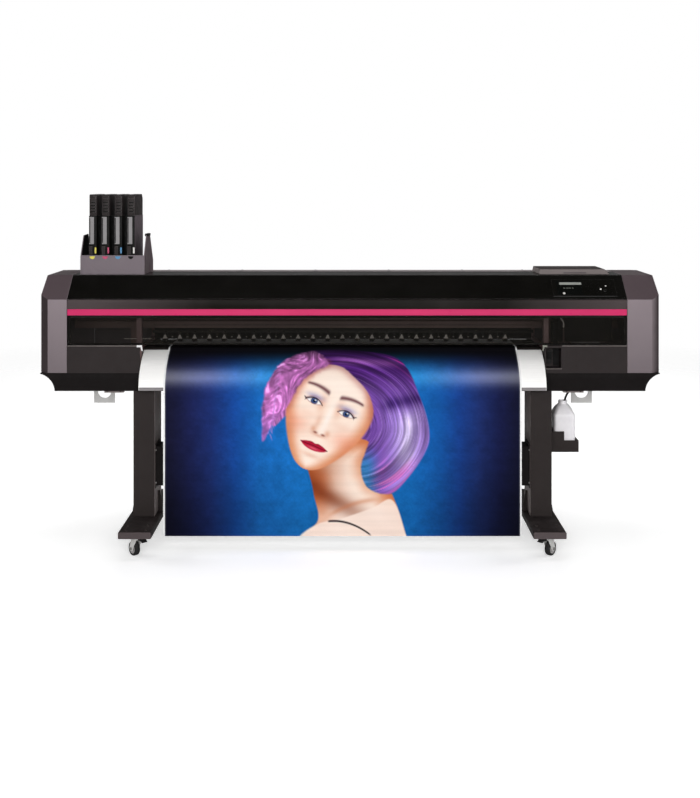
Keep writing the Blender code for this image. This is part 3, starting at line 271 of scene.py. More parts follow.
M["lid_front"] = surface("lid_front_paint", (122, 113, 112), 0.55, var=0.05, grain=1300, grain_d=0.00010, wear_and_edge_highlight=0.3, wear_and_edge_highlight_rgb=(170, 164, 165), orange=0.00006, spec=0.15)
M["rubber"] = surface("rubber_black", (19, 18, 18), 0.78, var=0.15, grain=700, grain_d=0.00020, dust=0.06, rough_var=0.10, spec=0.25)
M["tyre"] = surface("caster_tyre", (22, 21, 22), 0.66, var=0.15, grain=500, grain_d=0.00025, dust=0.10, wear_and_edge_highlight=0.3, wear_and_edge_highlight_rgb=(80, 78, 78), spec=0.3)
M["hub"] = surface("caster_hub", (160, 156, 156), 0.45, metal=0.10, var=0.06, grain=900, grain_d=0.00008, wear_and_edge_highlight=0.3)
M["white_pl"] = surface("white_plastic", (230, 229, 230), 0.42, var=0.03, grain=900, grain_d=0.00008, wear_and_edge_highlight=0.15)
M["grey_tab"] = surface("grey_green_plastic", (120, 122, 112), 0.46, var=0.05, grain=900, grain_d=0.00008, wear_and_edge_highlight=0.2)
# a lighter strip colour: painted highlight along the sill edges
M["sill"] = surface("sill_painted_highlight", (112, 104, 101), 0.40, metal=0.3, var=0.08, brushed=(4, 300, 300), wear_and_edge_highlight=0.3)
M["grey_key"] = surface("key_white", (214, 210, 206), 0.35, var=0.04, grain=1200, grain_d=0.00004)
M["key_flat"] = surface("key_flat_black", (13, 12, 11), 0.42, var=0.08, grain=900, grain_d=0.00005, spec=0.12)
M["key_dark"] = surface("key_dark", (16, 15, 14), 0.32, var=0.08, grain=900, grain_d=0.00005, wear_and_edge_highlight=0.15, spec=0.3)
M["card"] = surface("roll_core_card", (166, 132, 94), 0.85, var=0.12, grain=420, grain_d=0.00020, blotch=12)
M["label"] = surface("cartridge_label", (132, 129, 130), 0.50, var=0.05, grain=600, grain_d=0.00006)
M["cart_dark"] = surface("cartridge_body", (10, 10, 8), 0.46, var=0.12, grain=900, grain_d=0.00008, wear_and_edge_highlight=0.20, wear_and_edge_highlight_rgb=(72, 68, 66), spec=0.08)
M["cart_top"] = surface("cartridge_grip", (46, 41, 41), 0.52, var=0.25, grain=900, grain_d=0.00008, blotch=60, wear_and_edge_highlight=0.55, wear_and_edge_highlight_rgb=(150, 144, 144), spec=0.12)
# a lighter copy of the cartridge body for one flank, darker towards the bottom: painted light and shade
M["cart_side"] = surface("cartridge_flank_painted_light", (90, 81, 86), 0.55, var=0.05, grain=900, grain_d=0.00008, wear_and_edge_highlight=0.25, spec=0.03, zfade=(1.22, 1.46, 0.62))
M["yellow"] = surface("ink_yellow", (214, 200, 70), 0.38, var=0.05, grain=900, grain_d=0.00004)
M["magenta"] = surface("ink_magenta", (186, 46, 96), 0.38, var=0.05, grain=900, grain_d=0.00004)
M["cyan"] = surface("ink_cyan", (60, 130, 176), 0.38, var=0.05, grain=900, grain_d=0.00004)
M["led"] = surface("lit_mark", (222, 219, 215), 0.4, var=0.03, grain=900, grain_d=0.00003)
# near-black: painted shade in openings, recesses, slots and gaps, and on the seam line of the top
M["vent"] = surface("vent_shadow", (9, 8, 8), 0.8, var=0.1, spec=0.2)
M["brass"] = surface("plated_screw", (140, 138, 136), 0.36, metal=0.8, var=0.08, grain=600, grain_d=0.00006, wear_and_edge_highlight=0.3)
M["belt"] = surface("toothed_belt", (22, 21, 21), 0.68, var=0.12, grain=600, grain_d=0.00018, spec=0.25)
M["disp"] = surface("display_glass", (7, 8, 7), 0.12, var=0.1, grain=500, grain_d=0.00001, coat=0.6, rough_var=0.02, spec=0.4)
M["disp_bar"] = surface("display_bar", (150, 152, 147), 0.35, var=0.04, grain=900, grain_d=0.00002)
M["disp_dim"] = surface("display_segments", (84, 86, 80), 0.35, var=0.05, grain=900, grain_d=0.00002)


def smoked():
    t = Tree("window_smoke")
    t.put(t.p.inputs["Base Color"], t.mix(t.ramp(t.noise(5.0, 3), 0.3, 0.7), lin(14, 12, 8), lin(20, 17, 12)))
    t.put(t.p.inputs["Roughness"], t.ramp(t.noise(14.0, 5, 0.7), 0.35, 0.75, 0.05, 0.13))
    t.p.inputs["Alpha"].default_value = 0.40
    t.link(t.bump(t.noise(40.0, 2), 0.00001), t.p.inputs["Normal"])
    return t.m


def bottle_mat():
    t = Tree("bottle_polyethylene")
    z = t.xyz()["Z"]
    body = t.mix(t.ramp(t.noise(16.0, 4, 0.6), 0.3, 0.7), lin(232, 229, 233), lin(246, 244, 246))
    inky = t.ramp(z, 0.400, 0.440, 0.30, 0.0)
    nx = t.n("ShaderNodeSeparateXYZ")
    t.link(t.n("ShaderNodeNewGeometry").outputs["Normal"], nx.inputs[0])
    # painted shade: faces turned to the left are darker
    body = t.mix(t.ramp(nx.outputs["X"], -0.80, 0.15, 0.95, 0.0), body, lin(168, 164, 165))
    t.put(t.p.inputs["Base Color"], t.mix(inky, body, lin(150, 146, 158)))
    t.put(t.p.inputs["Roughness"], t.ramp(t.noise(30.0, 4), 0.3, 0.7, 0.30, 0.46))
    t.p.inputs["Subsurface Weight"].default_value = 0.25
    t.p.inputs["Subsurface Radius"].default_value = (0.02, 0.02, 0.02)
    t.link(t.bump(t.noise(220.0, 2), 0.00012), t.p.inputs["Normal"])
    return t.m


def media_white():
    t = Tree("media_white_vinyl")
    t.put(t.p.inputs["Base Color"], t.mix(t.ramp(t.noise(6.0, 4), 0.3, 0.7), lin(239, 239, 239), lin(243, 243, 242)))
    t.put(t.p.inputs["Roughness"], t.ramp(t.noise(18.0, 4), 0.3, 0.7, 0.36, 0.50))
    t.link(t.bump(t.noise(900.0, 2), 0.00003), t.p.inputs["Normal"])
    return t.m


def media_print():
    t = Tree("media_print_vinyl")
    at = t.n("ShaderNodeVertexColor", layer_name="ink")
    dots = t.noise(700.0, 1, 0.3)
    col = t.mix(t.ramp(dots, 0.3, 0.7, 0.0, 0.16), at.outputs["Color"], t.mix(1.0, at.outputs["Color"], (0.55, 0.55, 0.55), "MULTIPLY"))
    band = t.noise(1.0, 1, 0.3, stretch=(1.5, 60, 60))
    col = t.mix(t.ramp(band, 0.4, 0.7, 0.0, 0.05), col, (0, 0, 0))
    t.put(t.p.inputs["Base Color"], col)
    t.put(t.p.inputs["Roughness"], t.ramp(t.noise(20.0, 4), 0.3, 0.7, 0.50, 0.62))
    t.p.inputs["Specular IOR Level"].default_value = 0.012
    t.link(t.bump(t.noise(3.0, 2, 0.4), 0.0008, 1.0, t.bump(t.noise(400.0, 2), 0.00001)), t.p.inputs["Normal"])
    return t.m


def grey_strip():
    """The front cover's painted bar: glossy, with a painted reflection that makes it lighter towards the two ends."""
    t = Tree("cover_bar_paint")
    x = t.math("ABSOLUTE", t.xyz()["X"], 0)
    ends = t.ramp(x, 0.66, 1.16, 0.0, 1.0)
    drift = t.ramp(t.noise(2.2, 4), 0.3, 0.7, -0.15, 0.15)
    f = t.math("ADD", ends, drift, clamp=True)
    col = t.mix(f, lin(13, 9, 4), lin(77, 68, 69))
    t.p.inputs["Specular IOR Level"].default_value = 0.10
    # painted highlight along the edges
    e = t.math("MULTIPLY", t.edge(0.002), 0.30)
    t.put(t.p.inputs["Base Color"], t.mix(e, col, lin(110, 102, 102)))
    t.put(t.p.inputs["Roughness"], t.ramp(t.noise(24.0, 4), 0.3, 0.7, 0.34, 0.48))
    t.link(t.bump(t.noise(1300.0, 2), 0.00008), t.p.inputs["Normal"])
    return t.m


def top_paint():
    """The top sheet: black gloss in front of the seam, grey paint behind it."""
    t = Tree("top_cover_two_tone")
    y = t.xyz()["Y"]
    rear = t.ramp(y, 0.0540, 0.0546, 0.0, 1.0)
    grey = t.mix(t.ramp(t.noise(2.2, 4), 0.3, 0.7), lin(134, 126, 127), lin(144, 136, 137))
    black = t.mix(t.ramp(t.noise(3.0, 4), 0.3, 0.7), lin(12, 10, 8), lin(18, 15, 13))
    # painted shade: faces tilted from level are darker
    grey = t.mix(t.ramp(t.normal_z(), 0.90, 0.985), lin(118, 107, 111), grey)
    col = t.mix(rear, black, grey)
    # painted highlight along the edges
    col = t.mix(t.math("MULTIPLY", t.edge(0.0015), 0.35), col, lin(176, 168, 168))
    dusty = t.math("MULTIPLY", t.ramp(t.noise(6.0, 5, 0.7), 0.45, 0.75), t.ramp(t.normal_z(), 0.6, 1.0, 0.0, 0.10))
    t.put(t.p.inputs["Base Color"], t.mix(dusty, col, lin(120, 116, 112)))
    t.put(t.p.inputs["Roughness"], t.math("ADD", t.ramp(t.noise(12.0, 4), 0.3, 0.7, 0.18, 0.26), t.math("MULTIPLY", rear, 0.34)))
    t.p.inputs["Specular IOR Level"].default_value = 0.2
    t.link(t.bump(t.noise(1300.0, 2), 0.00006), t.p.inputs["Normal"])
    return t.m


def rounded_corner():
    """The right end cover's corner: painted shade that falls off softly towards the outer edge, on a face painted
    darker towards the bottom.
    """
    t = Tree("cover_corner_painted_shade")
    x = t.xyz()["X"]
    far = t.ramp(t.math("ADD", x, t.ramp(t.noise(20.0, 3), 0.3, 0.7, -0.0015, 0.0015)), 1.3020, 1.3300)
    face = t.mix(t.ramp(t.xyz()["Z"], 0.74, 1.06), lin(108, 98, 101), lin(128, 117, 121))
    edge = t.mix(t.ramp(t.noise(3.0, 4), 0.3, 0.7), lin(48, 41, 43), lin(56, 48, 50))
    col = t.mix(far, face, edge)
    # worn edges with a painted edge highlight
    col = t.mix(t.math("MULTIPLY", t.edge(0.0020), t.ramp(t.noise(38.0, 4, 0.7), 0.3, 0.62, 0.04, 0.12)), col, lin(150, 142, 144))
    t.put(t.p.inputs["Base Color"], col)
    t.put(t.p.inputs["Roughness"], t.ramp(t.noise(26.0, 5, 0.65), 0.3, 0.7, 0.46, 0.60))
    t.p.inputs["Specular IOR Level"].default_value = 0.25
    t.link(t.bump(t.noise(1300.0, 2), 0.00004), t.p.inputs["Normal"])
    return t.m


M["cover_round"] = rounded_corner()
M["top_two"] = top_paint()
M["smoke"] = smoked()
M["bottle"] = bottle_mat()
M["white"] = media_white()
M["print"] = media_print()
M["bar"] = grey_strip()


# ------------------------------------------------------------------ mesh helpers
def finish_piece(name, bm, mats, body, hides=(), smooth=32, bevel=0.0, seg=2, recalc=True):
    if recalc:
        bmesh.ops.recalc_face_normals(bm, faces=bm.faces)
    me = bpy.data.meshes.new(name)
    bm.to_mesh(me)
    bm.free()
    ob = bpy.data.objects.new(name, me)
    LINK(ob)
    for m in mats if isinstance(mats, (list, tuple)) else [mats]:
        me.materials.append(m)
    for p in me.polygons:
        p.use_smooth = True
    me.set_sharp_from_angle(angle=math.radians(smooth))
    if bevel:
        m = ob.modifiers.new("edges", "BEVEL")
        m.width, m.segments, m.limit_method, m.angle_limit = bevel, seg, "ANGLE", math.radians(28)
        m.harden_normals = True
        m.use_clamp_overlap = True
    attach(ob, body)
    if hides:
        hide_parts(*hides)
    return ob


def skin(node, mat, bevel=0.0012, seg=2, smooth=32, dissolve=True, pick=None):
    """The node's own solid with merged faces and rounded edges, standing for the node. pick(face) gives a material index."""
    src = NODES[node]
    bm = bmesh.new()
    bm.from_mesh(src.data)
    bmesh.ops.remove_doubles(bm, verts=bm.verts, dist=2e-6)
    if dissolve:
        bmesh.ops.dissolve_limit(bm, angle_limit=math.radians(0.6), verts=bm.verts, edges=bm.edges)
    for f in bm.faces:
        f.material_index = pick(f) if pick else 0
    return finish_piece(node + "_skin", bm, mat, BODY[node], (node,), smooth, bevel, seg)


def faces_after(bm, before, mi):
    for f in bm.faces:
        if f not in before:
            f.material_index = mi


def add_box(bm, lo, hi, r=0.0, seg=2, mi=0, mat=None):
    before = set(bm.faces)
    v = bmesh.ops.create_cube(bm, size=1.0)["verts"]
    for p in v:
        for k in range(3):
            p.co[k] = lo[k] if p.co[k] < 0 else hi[k]
    if r:
        es = list({e for p in v for e in p.link_edges})
        bmesh.ops.bevel(bm, geom=es, offset=r, segments=seg, profile=0.5, affect="EDGES", clamp_overlap=True)
    if mat is not None:
        new = {p for f in bm.faces if f not in before for p in f.verts}
        bmesh.ops.transform(bm, matrix=mat, verts=list(new))
    faces_after(bm, before, mi)


def add_prism(bm, pts, a, b, axis="X", r=0.0, seg=2, mi=0):
    """pts are (y,z) for X, (x,z) for Y and (x,y) for Z."""
    before = set(bm.faces)
    put = {"X": lambda u, v, t: (t, u, v), "Y": lambda u, v, t: (u, t, v), "Z": lambda u, v, t: (u, v, t)}[axis]
    A = [bm.verts.new(put(u, v, a)) for u, v in pts]
    B = [bm.verts.new(put(u, v, b)) for u, v in pts]
    fs = [bm.faces.new(A), bm.faces.new(B[::-1])]
    for k in range(len(pts)):
        m = (k + 1) % len(pts)
        fs.append(bm.faces.new((A[m], A[k], B[k], B[m])))
    bmesh.ops.recalc_face_normals(bm, faces=fs)
    if r:
        es = list({e for f in fs for e in f.edges})
        bmesh.ops.bevel(bm, geom=es, offset=r, segments=seg, profile=0.5, affect="EDGES", clamp_overlap=True)
    faces_after(bm, before, mi)


def frame_of(origin, axis):
    """A matrix whose Z runs along axis."""
    z = Vector(axis).normalized()
    q = z.to_track_quat("Z", "Y")
    return Matrix.Translation(origin) @ q.to_matrix().to_4x4()


def add_lathe(bm, prof, mat, seg=32, mi=0, closed=False):
    """prof is a list of (radius, height). An open profile may start and end on the axis; a closed one is a ring."""
    rows = []
    for r, h in prof:
        if r < 1e-7:
            rows.append([bm.verts.new(mat @ Vector((0, 0, h)))])
        else:
            rows.append([bm.verts.new(mat @ Vector((r * math.cos(2 * math.pi * k / seg), r * math.sin(2 * math.pi * k / seg), h))) for k in range(seg)])
    made = []
    pairs = list(zip(rows, rows[1:])) + ([(rows[-1], rows[0])] if closed else [])
    for a, b in pairs:
        for k in range(seg):
            m = (k + 1) % seg
            q = [a[k % len(a)], a[m % len(a)], b[m % len(b)], b[k % len(b)]]
            u = []
            for p in q:
                if p not in u:
                    u.append(p)
            if len(u) > 2:
                made.append(bm.faces.new(u))
    for f in made:
        f.material_index = mi
    return made


def add_tube(bm, pts, r, seg=12, mi=0, cap=True):
    pts = [Vector(p) for p in pts]
    n = None
    rings = []
    for i, p in enumerate(pts):
        d = (pts[min(i + 1, len(pts) - 1)] - pts[max(i - 1, 0)]).normalized()
        if n is None:
            n = d.orthogonal().normalized()
        n = (n - d * n.dot(d)).normalized()
        b = d.cross(n)
        rr = r[i] if hasattr(r, "__len__") else r
        rings.append([bm.verts.new(p + (n * math.cos(2 * math.pi * k / seg) + b * math.sin(2 * math.pi * k / seg)) * rr) for k in range(seg)])
    fs = []
    for a, b in zip(rings, rings[1:]):
        for k in range(seg):
            m = (k + 1) % seg
            fs.append(bm.faces.new((a[k], a[m], b[m], b[k])))
    if cap:
        fs.append(bm.faces.new(rings[0][::-1]))
        fs.append(bm.faces.new(rings[-1]))
    for f in fs:
        f.material_index = mi


def add_screw(bm, at, out, r=0.004, mi=0):
    """A pan-head screw with a round recess, standing on a surface."""
    mat = frame_of(at, out)
    h = r * 0.62
    rec = r * 0.42
    rows = [(r * 0.98, -0.0002), (r, h * 0.45), (r * 0.86, h * 0.85), (r * 0.62, h)]
    seg = 18
    add_lathe(bm, [(0, -0.0002)] + rows + [(rec, h), (rec * 0.97, h * 0.35), (0, h * 0.30)], mat, seg, mi)


def bezier(p0, p1, p2, p3, n):
    out = []
    for i in range(n + 1):
        t = i / n
        s = 1 - t
        out.append(tuple(s**3 * a + 3 * s * s * t * b + 3 * s * t * t * c + t**3 * d for a, b, c, d in zip(p0, p1, p2, p3)))
    return out


def offset_line(pts, d):
    out = []
    for i, p in enumerate(pts):
        a, b = pts[max(i - 1, 0)], pts[min(i + 1, len(pts) - 1)]
        if 0 < i < len(pts) - 1:
            u = Vector((p[0] - a[0], p[1] - a[1])).normalized()
            v = Vector((b[0] - p[0], b[1] - p[1])).normalized()
            n = Vector((-(u.y + v.y), u.x + v.x)).normalized()
            k = d / max(0.3, n.dot(Vector((-u.y, u.x))))
        else:
            u = Vector((b[0] - a[0], b[1] - a[1])).normalized()
            n = Vector((-u.y, u.x))
            k = d
        out.append((p[0] + n.x * k, p[1] + n.y * k))
    return out


slope = Vector((Y_TOPF - Y_FRONT, Z_TOP - Z_FASC)).normalized()
down = Vector((slope.y, -slope.x))


def on_fascia(x, along, out):
    p = Vector((Y_FRONT, Z_FASC)) + slope * along - down * out
    return (x, p.x, p.y)


def fascia_box(bm, x0, x1, a0, a1, h0, h1, r=0.0, mi=0):
    """A block lying on the sloping fascia."""
    ang = math.atan2(slope.y, slope.x)
    o = Vector((0, Y_FRONT, Z_FASC))
    mat = Matrix.Translation(o) @ Matrix.Rotation(ang, 4, "X")
    add_box(bm, (x0, a0, h0), (x1, a1, h1), r, 2, mi, mat)


# ------------------------------------------------------------------ cabinet
# Faces of the one cover paint take copies by which way they look: the brow, the chamfers and the top take darker
# copies, painted shade.
def cap_pick(f):
    c, n = f.calc_center_median(), f.normal
    if n.y > 0.2 and n.z > 0.3:
        return 4                                  # rear slope
    if n.y < -0.4 and n.z > 0.4:
        return 1                                  # sloping brow
    if n.y < -0.4 and abs(n.x) > 0.3:
        return 2 if c.x < 0 else 5                # corner chamfer
    if n.z > 0.8:
        return 3
    return 0


for s, side in ((-1, "left"), (1, "right")):
    skin(f"side_cover_{side}", [M["cover"], M["cover_brow"], M["cover_chamfer"], M["cover_top"], M["cover_plate"], M["cover_round"]], 0.0022, 3, smooth=40, pick=cap_pick)
skin("top_cover", M["top_two"], 0.0008, 2)
skin("fascia_panel", M["gloss"], 0.0008, 2)
skin("rear_cover", M["cover"], 0.0010, 2)
skin("base_tray", M["black"], 0.0008, 1)
skin("front_panel_left", M["panel"], 0.0008, 2)
skin("front_panel_right", M["panel"], 0.0008, 2)
skin("raised_lid", [M["lid_front"], M["lid_top"]], 0.0022, 3, pick=lambda f: 1 if f.normal.z > 0.6 else 0)
skin("front_cover_frame", [M["bar"], M["dark"]], 0.0006, 2, pick=lambda f: 1 if f.calc_center_median().z < 0.985 else 0)
skin("front_cover_trim", M["pink"], 0.0008, 2)
skin("front_cover_window", M["smoke"], 0.0004, 1)
skin("side_frame_left", M["post"], 0.0006, 1)
skin("side_frame_right", M["post"], 0.0006, 1)
skin("carriage_rail", M["rail"], 0.0004, 1)
skin("print_platen", M["dark"], 0.0004, 1)
skin("rear_media_guide", M["dark"], 0.0003, 1, dissolve=False)
skin("carriage", [M["carriage"], M["vent"]], 0.0010, 2, pick=lambda f: 1 if f.normal.x < -0.7 else 0)
skin("print_head", M["steel"], 0.0008, 2)
skin("cutter_holder", [M["carriage"], M["steel"]], 0.0006, 2, pick=lambda f: 1 if f.calc_center_median().z < 0.858 else 0)
skin("maintenance_station", M["inner"], 0.0010, 1)
skin("head_cap", M["rubber"], 0.0008, 2)
skin("media_lever", M["rubber"], 0.0010, 2)
# The holder's outer right face takes the darker brow copy and its inner faces the near-black: painted shade.
def holder_pick(f):
    c, n = f.calc_center_median(), f.normal
    if n.x > 0.5 and c.x > -0.915:
        return 1                                  # outer face of the right wall
    if abs(n.x) > 0.5 and not (c.x < -1.186 and n.x < -0.5):
        return 2
    if n.y > 0.5 and c.y < 0.095:
        return 2
    if n.z > 0.5 and c.z < 1.20:
        return 2
    if n.y < -0.5 and c.y > -0.09:
        return 2                                  # inner side of the rear wall
    return 0


# The legs' inner faces take the lighter copy of the stand paint: painted light.
def leg_pick(side):
    return lambda f: 1 if f.normal.x * side > 0.7 else 0


# The feet's front faces take the lighter copy and their tops the darker copy: painted light and shade.
def foot_pick(f):
    return 1 if f.normal.y < -0.6 else (2 if f.normal.z > 0.7 else 0)


skin("ink_holder", [M["cover_plate"], M["cover_brow"], M["vent"]], 0.0010, 2, pick=holder_pick)
skin("control_panel", M["gloss"], 0.0006, 2)
skin("leg_left", [M["leg"], M["leg_in"]], 0.0030, 3, pick=leg_pick(1))
skin("leg_right", [M["leg"], M["leg_in"]], 0.0030, 3, pick=leg_pick(-1))
skin("foot_left", [M["leg"], M["foot_front"], M["foot_top"]], 0.0024, 3, pick=foot_pick)
skin("foot_right", [M["leg"], M["foot_front"], M["foot_top"]], 0.0024, 3, pick=foot_pick)
skin("stand_cross_beam", M["black"], 0.0030, 3)
skin("lifting_rail", M["zinc"], 0.0005, 1)
skin("waste_bottle_holder", M["leg"], 0.0012, 2)
skin("roll_holder_frame", M["leg"], 0.0010, 2)
skin("drive_roller", M["steel_x"], 0.0003, 1, dissolve=False)
skin("belt_drive_pulley", M["steel"], 0.0003, 1, dissolve=False)
skin("belt_idler_pulley", M["steel"], 0.0003, 1, dissolve=False)
skin("carriage_belt", M["belt"], 0.0, dissolve=False)


# ------------------------------------------------------------------ front guide with fine ribs
front_curve = bezier((-0.1635, 0.8290), (-0.229, 0.805), (-0.2976, 0.749), (-0.3030, 0.689), 96)
seg_len = [0.0]
for a, b in zip(front_curve, front_curve[1:]):
    seg_len.append(seg_len[-1] + math.dist(a, b))
inner_curve = offset_line(bezier((-0.1635, 0.8290), (-0.229, 0.805), (-0.2976, 0.749), (-0.3030, 0.689), 24), 0.0028)
ribbed = []
base_off = offset_line(front_curve, 0.0006)
for i, (p, q) in enumerate(zip(front_curve, base_off)):
    g = (seg_len[i] / 0.0086) % 1.0
    ribbed.append(q if g > 0.72 else p)
lip = [(-0.3030, 0.6875), (-0.2975, 0.6845), (-0.2975, 0.6745), (-0.2325, 0.6745), (-0.2330, 0.6775), (-0.2945, 0.6775), (-0.2945, 0.6860)]
bm = bmesh.new()
x0, x1 = XC - GUIDE_HALF, XC + GUIDE_HALF
outline = ribbed + lip + inner_curve[::-1][1:]
add_prism(bm, outline, x0 + 0.0015, x1 - 0.0015, "X")
for f in bm.faces:
    c = f.calc_center_median()
    f.material_index = 1 if c.z < 0.6885 else 0
finish_piece("front_guide_skin", bm, [M["alu"], M["alu_edge"]], "machine", ("front_media_guide",), smooth=50)
# moulded end plates of the guide
bm = bmesh.new()
for s in (-1, 1):
    xa, xb = (x0, x0 + 0.0015) if s < 0 else (x1 - 0.0015, x1)
    add_prism(bm, front_curve[::6] + lip + inner_curve[::-2], xa, xb, "X")
finish_piece("front_guide_ends", bm, M["alu"], "machine", smooth=50)


# ------------------------------------------------------------------ printed sheet
rear_curve = bezier((0.0240, 0.8385), (0.150, 0.8385), (0.322, 0.830), (0.3300, 0.700), 24)
R = ROLL_R + 0.0012
rear_out = offset_line(rear_curve, 0.0009)
px, pz = rear_out[-1]
dx, dz = ROLL_Y - px, ROLL_Z - pz
dist = math.hypot(dx, dz)
base_a = math.atan2(pz - ROLL_Z, px - ROLL_Y)
touch = base_a - math.acos(R / dist)
tangent = (ROLL_Y + R * math.cos(touch), ROLL_Z + R * math.sin(touch))
wrap = [(ROLL_Y + R * math.cos(touch - math.radians(a)), ROLL_Z + R * math.sin(touch - math.radians(a))) for a in (34, 28, 22, 16, 11, 5)]
front_out = offset_line(bezier((-0.1635, 0.8290), (-0.229, 0.805), (-0.2976, 0.749), (-0.3030, 0.689), 48), -0.0012)
back_part = wrap + [tangent] + rear_out[::-1] + [(0.012, PLATEN_Z + 0.0006), (-0.058, PLATEN_Z + 0.0006)]
print_part = [(-0.058, PLATEN_Z + 0.0006), (-0.146, PLATEN_Z + 0.0006), (-0.157, PLATEN_Z - 0.0015)] + front_out[3:]
hang = [(front_out[-1][0] - 0.0003, 0.60), (front_out[-1][0] - 0.0006, 0.35), (front_out[-1][0] - 0.0002, 0.12), (front_out[-1][0] + 0.0012, MEDIA_END)]


def resample(pts, steps):
    """Points along a polyline at the given arc lengths."""
    acc = [0.0]
    for a, b in zip(pts, pts[1:]):
        acc.append(acc[-1] + math.dist(a, b))
    return np.array([[np.interp(s, acc, [p[k] for p in pts]) for k in (0, 1)] for s in steps]), acc[-1]


whole = print_part + hang
_, total = resample(whole, [0.0])
_, guide_len = resample(print_part, [0.0])
fine = 0.0034
n_rows = int(round(total / fine))
S = np.linspace(0.0, total, n_rows + 1)
path, _ = resample(whole, S)
# columns: fine in the middle, coarser towards the sides
MARGIN = 0.007
xs_mid = np.arange(-0.395, 0.3951, fine)
left = np.concatenate([[-MEDIA_HALF, -MEDIA_HALF + MARGIN - 0.0004, -MEDIA_HALF + MARGIN], np.linspace(-MEDIA_HALF + MARGIN + 0.006, -0.402, 46)])
right_c = np.concatenate([np.linspace(0.402, MEDIA_HALF - MARGIN - 0.006, 46), [MEDIA_HALF - MARGIN, MEDIA_HALF - MARGIN + 0.0004, MEDIA_HALF]])
XS = np.concatenate([left, xs_mid, right_c]) + XC

PXM = 1144.5                              # picture units per metre at one metre
PX, ROW = np.meshgrid(XS, np.arange(n_rows + 1))
PY, PZ = path[ROW, 0], path[ROW, 1]
DEPTH = PY + 5.17
HANG_D = front_out[-1][0] + 5.17
U = 350 + PX * PXM / HANG_D               # across the sheet, in picture units
W = 182 + (1.563 - PZ) * PXM / DEPTH      # height as seen
V_EDGE = 182 + (1.563 - 0.689) * PXM / HANG_D
V = V_EDGE + (S[ROW] - guide_len) * PXM / HANG_D      # along the sheet


def smooth(a, b, x):
    t = np.clip((x - a) / (b - a), 0, 1)
    return t * t * (3 - 2 * t)


def hash2(i, j, k=0):
    v = np.sin(i * 127.1 + j * 311.7 + k * 74.7) * 43758.5453
    return v - np.floor(v)


def vnoise(x, y, k=0):
    i, j = np.floor(x), np.floor(y)
    a, b = x - i, y - j
    a, b = a * a * (3 - 2 * a), b * b * (3 - 2 * b)
    return (hash2(i, j, k) * (1 - a) + hash2(i + 1, j, k) * a) * (1 - b) + (hash2(i, j + 1, k) * (1 - a) + hash2(i + 1, j + 1, k) * a) * b


def fbm(x, y, k=0, n=3):
    s, amp = 0, 0.5
    for o in range(n):
        s = s + amp * vnoise(x * 2**o, y * 2**o, k + o)
        amp *= 0.5
    return s / (1 - 0.5**n)


def spline(pts, n=8):
    """A closed Catmull-Rom outline."""
    out = []
    m = len(pts)
    for i in range(m):
        p0, p1, p2, p3 = (np.array(pts[(i + d) % m], float) for d in (-1, 0, 1, 2))
        for k in range(n):
            t = k / n
            out.append(0.5 * (2 * p1 + (p2 - p0) * t + (2 * p0 - 5 * p1 + 4 * p2 - p3) * t * t + (3 * p1 - p0 - 3 * p2 + p3) * t**3))
    return np.array(out)


def sdf(poly, x, y):
    """Signed distance to a closed outline, negative inside."""
    best = np.full(x.shape, 1e9)
    inside = np.zeros(x.shape, bool)
    for (ax, ay), (bx, by) in zip(poly, np.roll(poly, -1, 0)):
        ex, ey = bx - ax, by - ay
        t = np.clip(((x - ax) * ex + (y - ay) * ey) / (ex * ex + ey * ey + 1e-12), 0, 1)
        best = np.minimum(best, np.hypot(x - ax - t * ex, y - ay - t * ey))
        cross = ((ay > y) != (by > y)) & (x < (bx - ax) * (y - ay) / (by - ay + 1e-12) + ax)
        inside ^= cross
    return np.where(inside, -best, best)


def cover_of(d, soft=0.8):
    return 1 - smooth(-soft, soft, d)


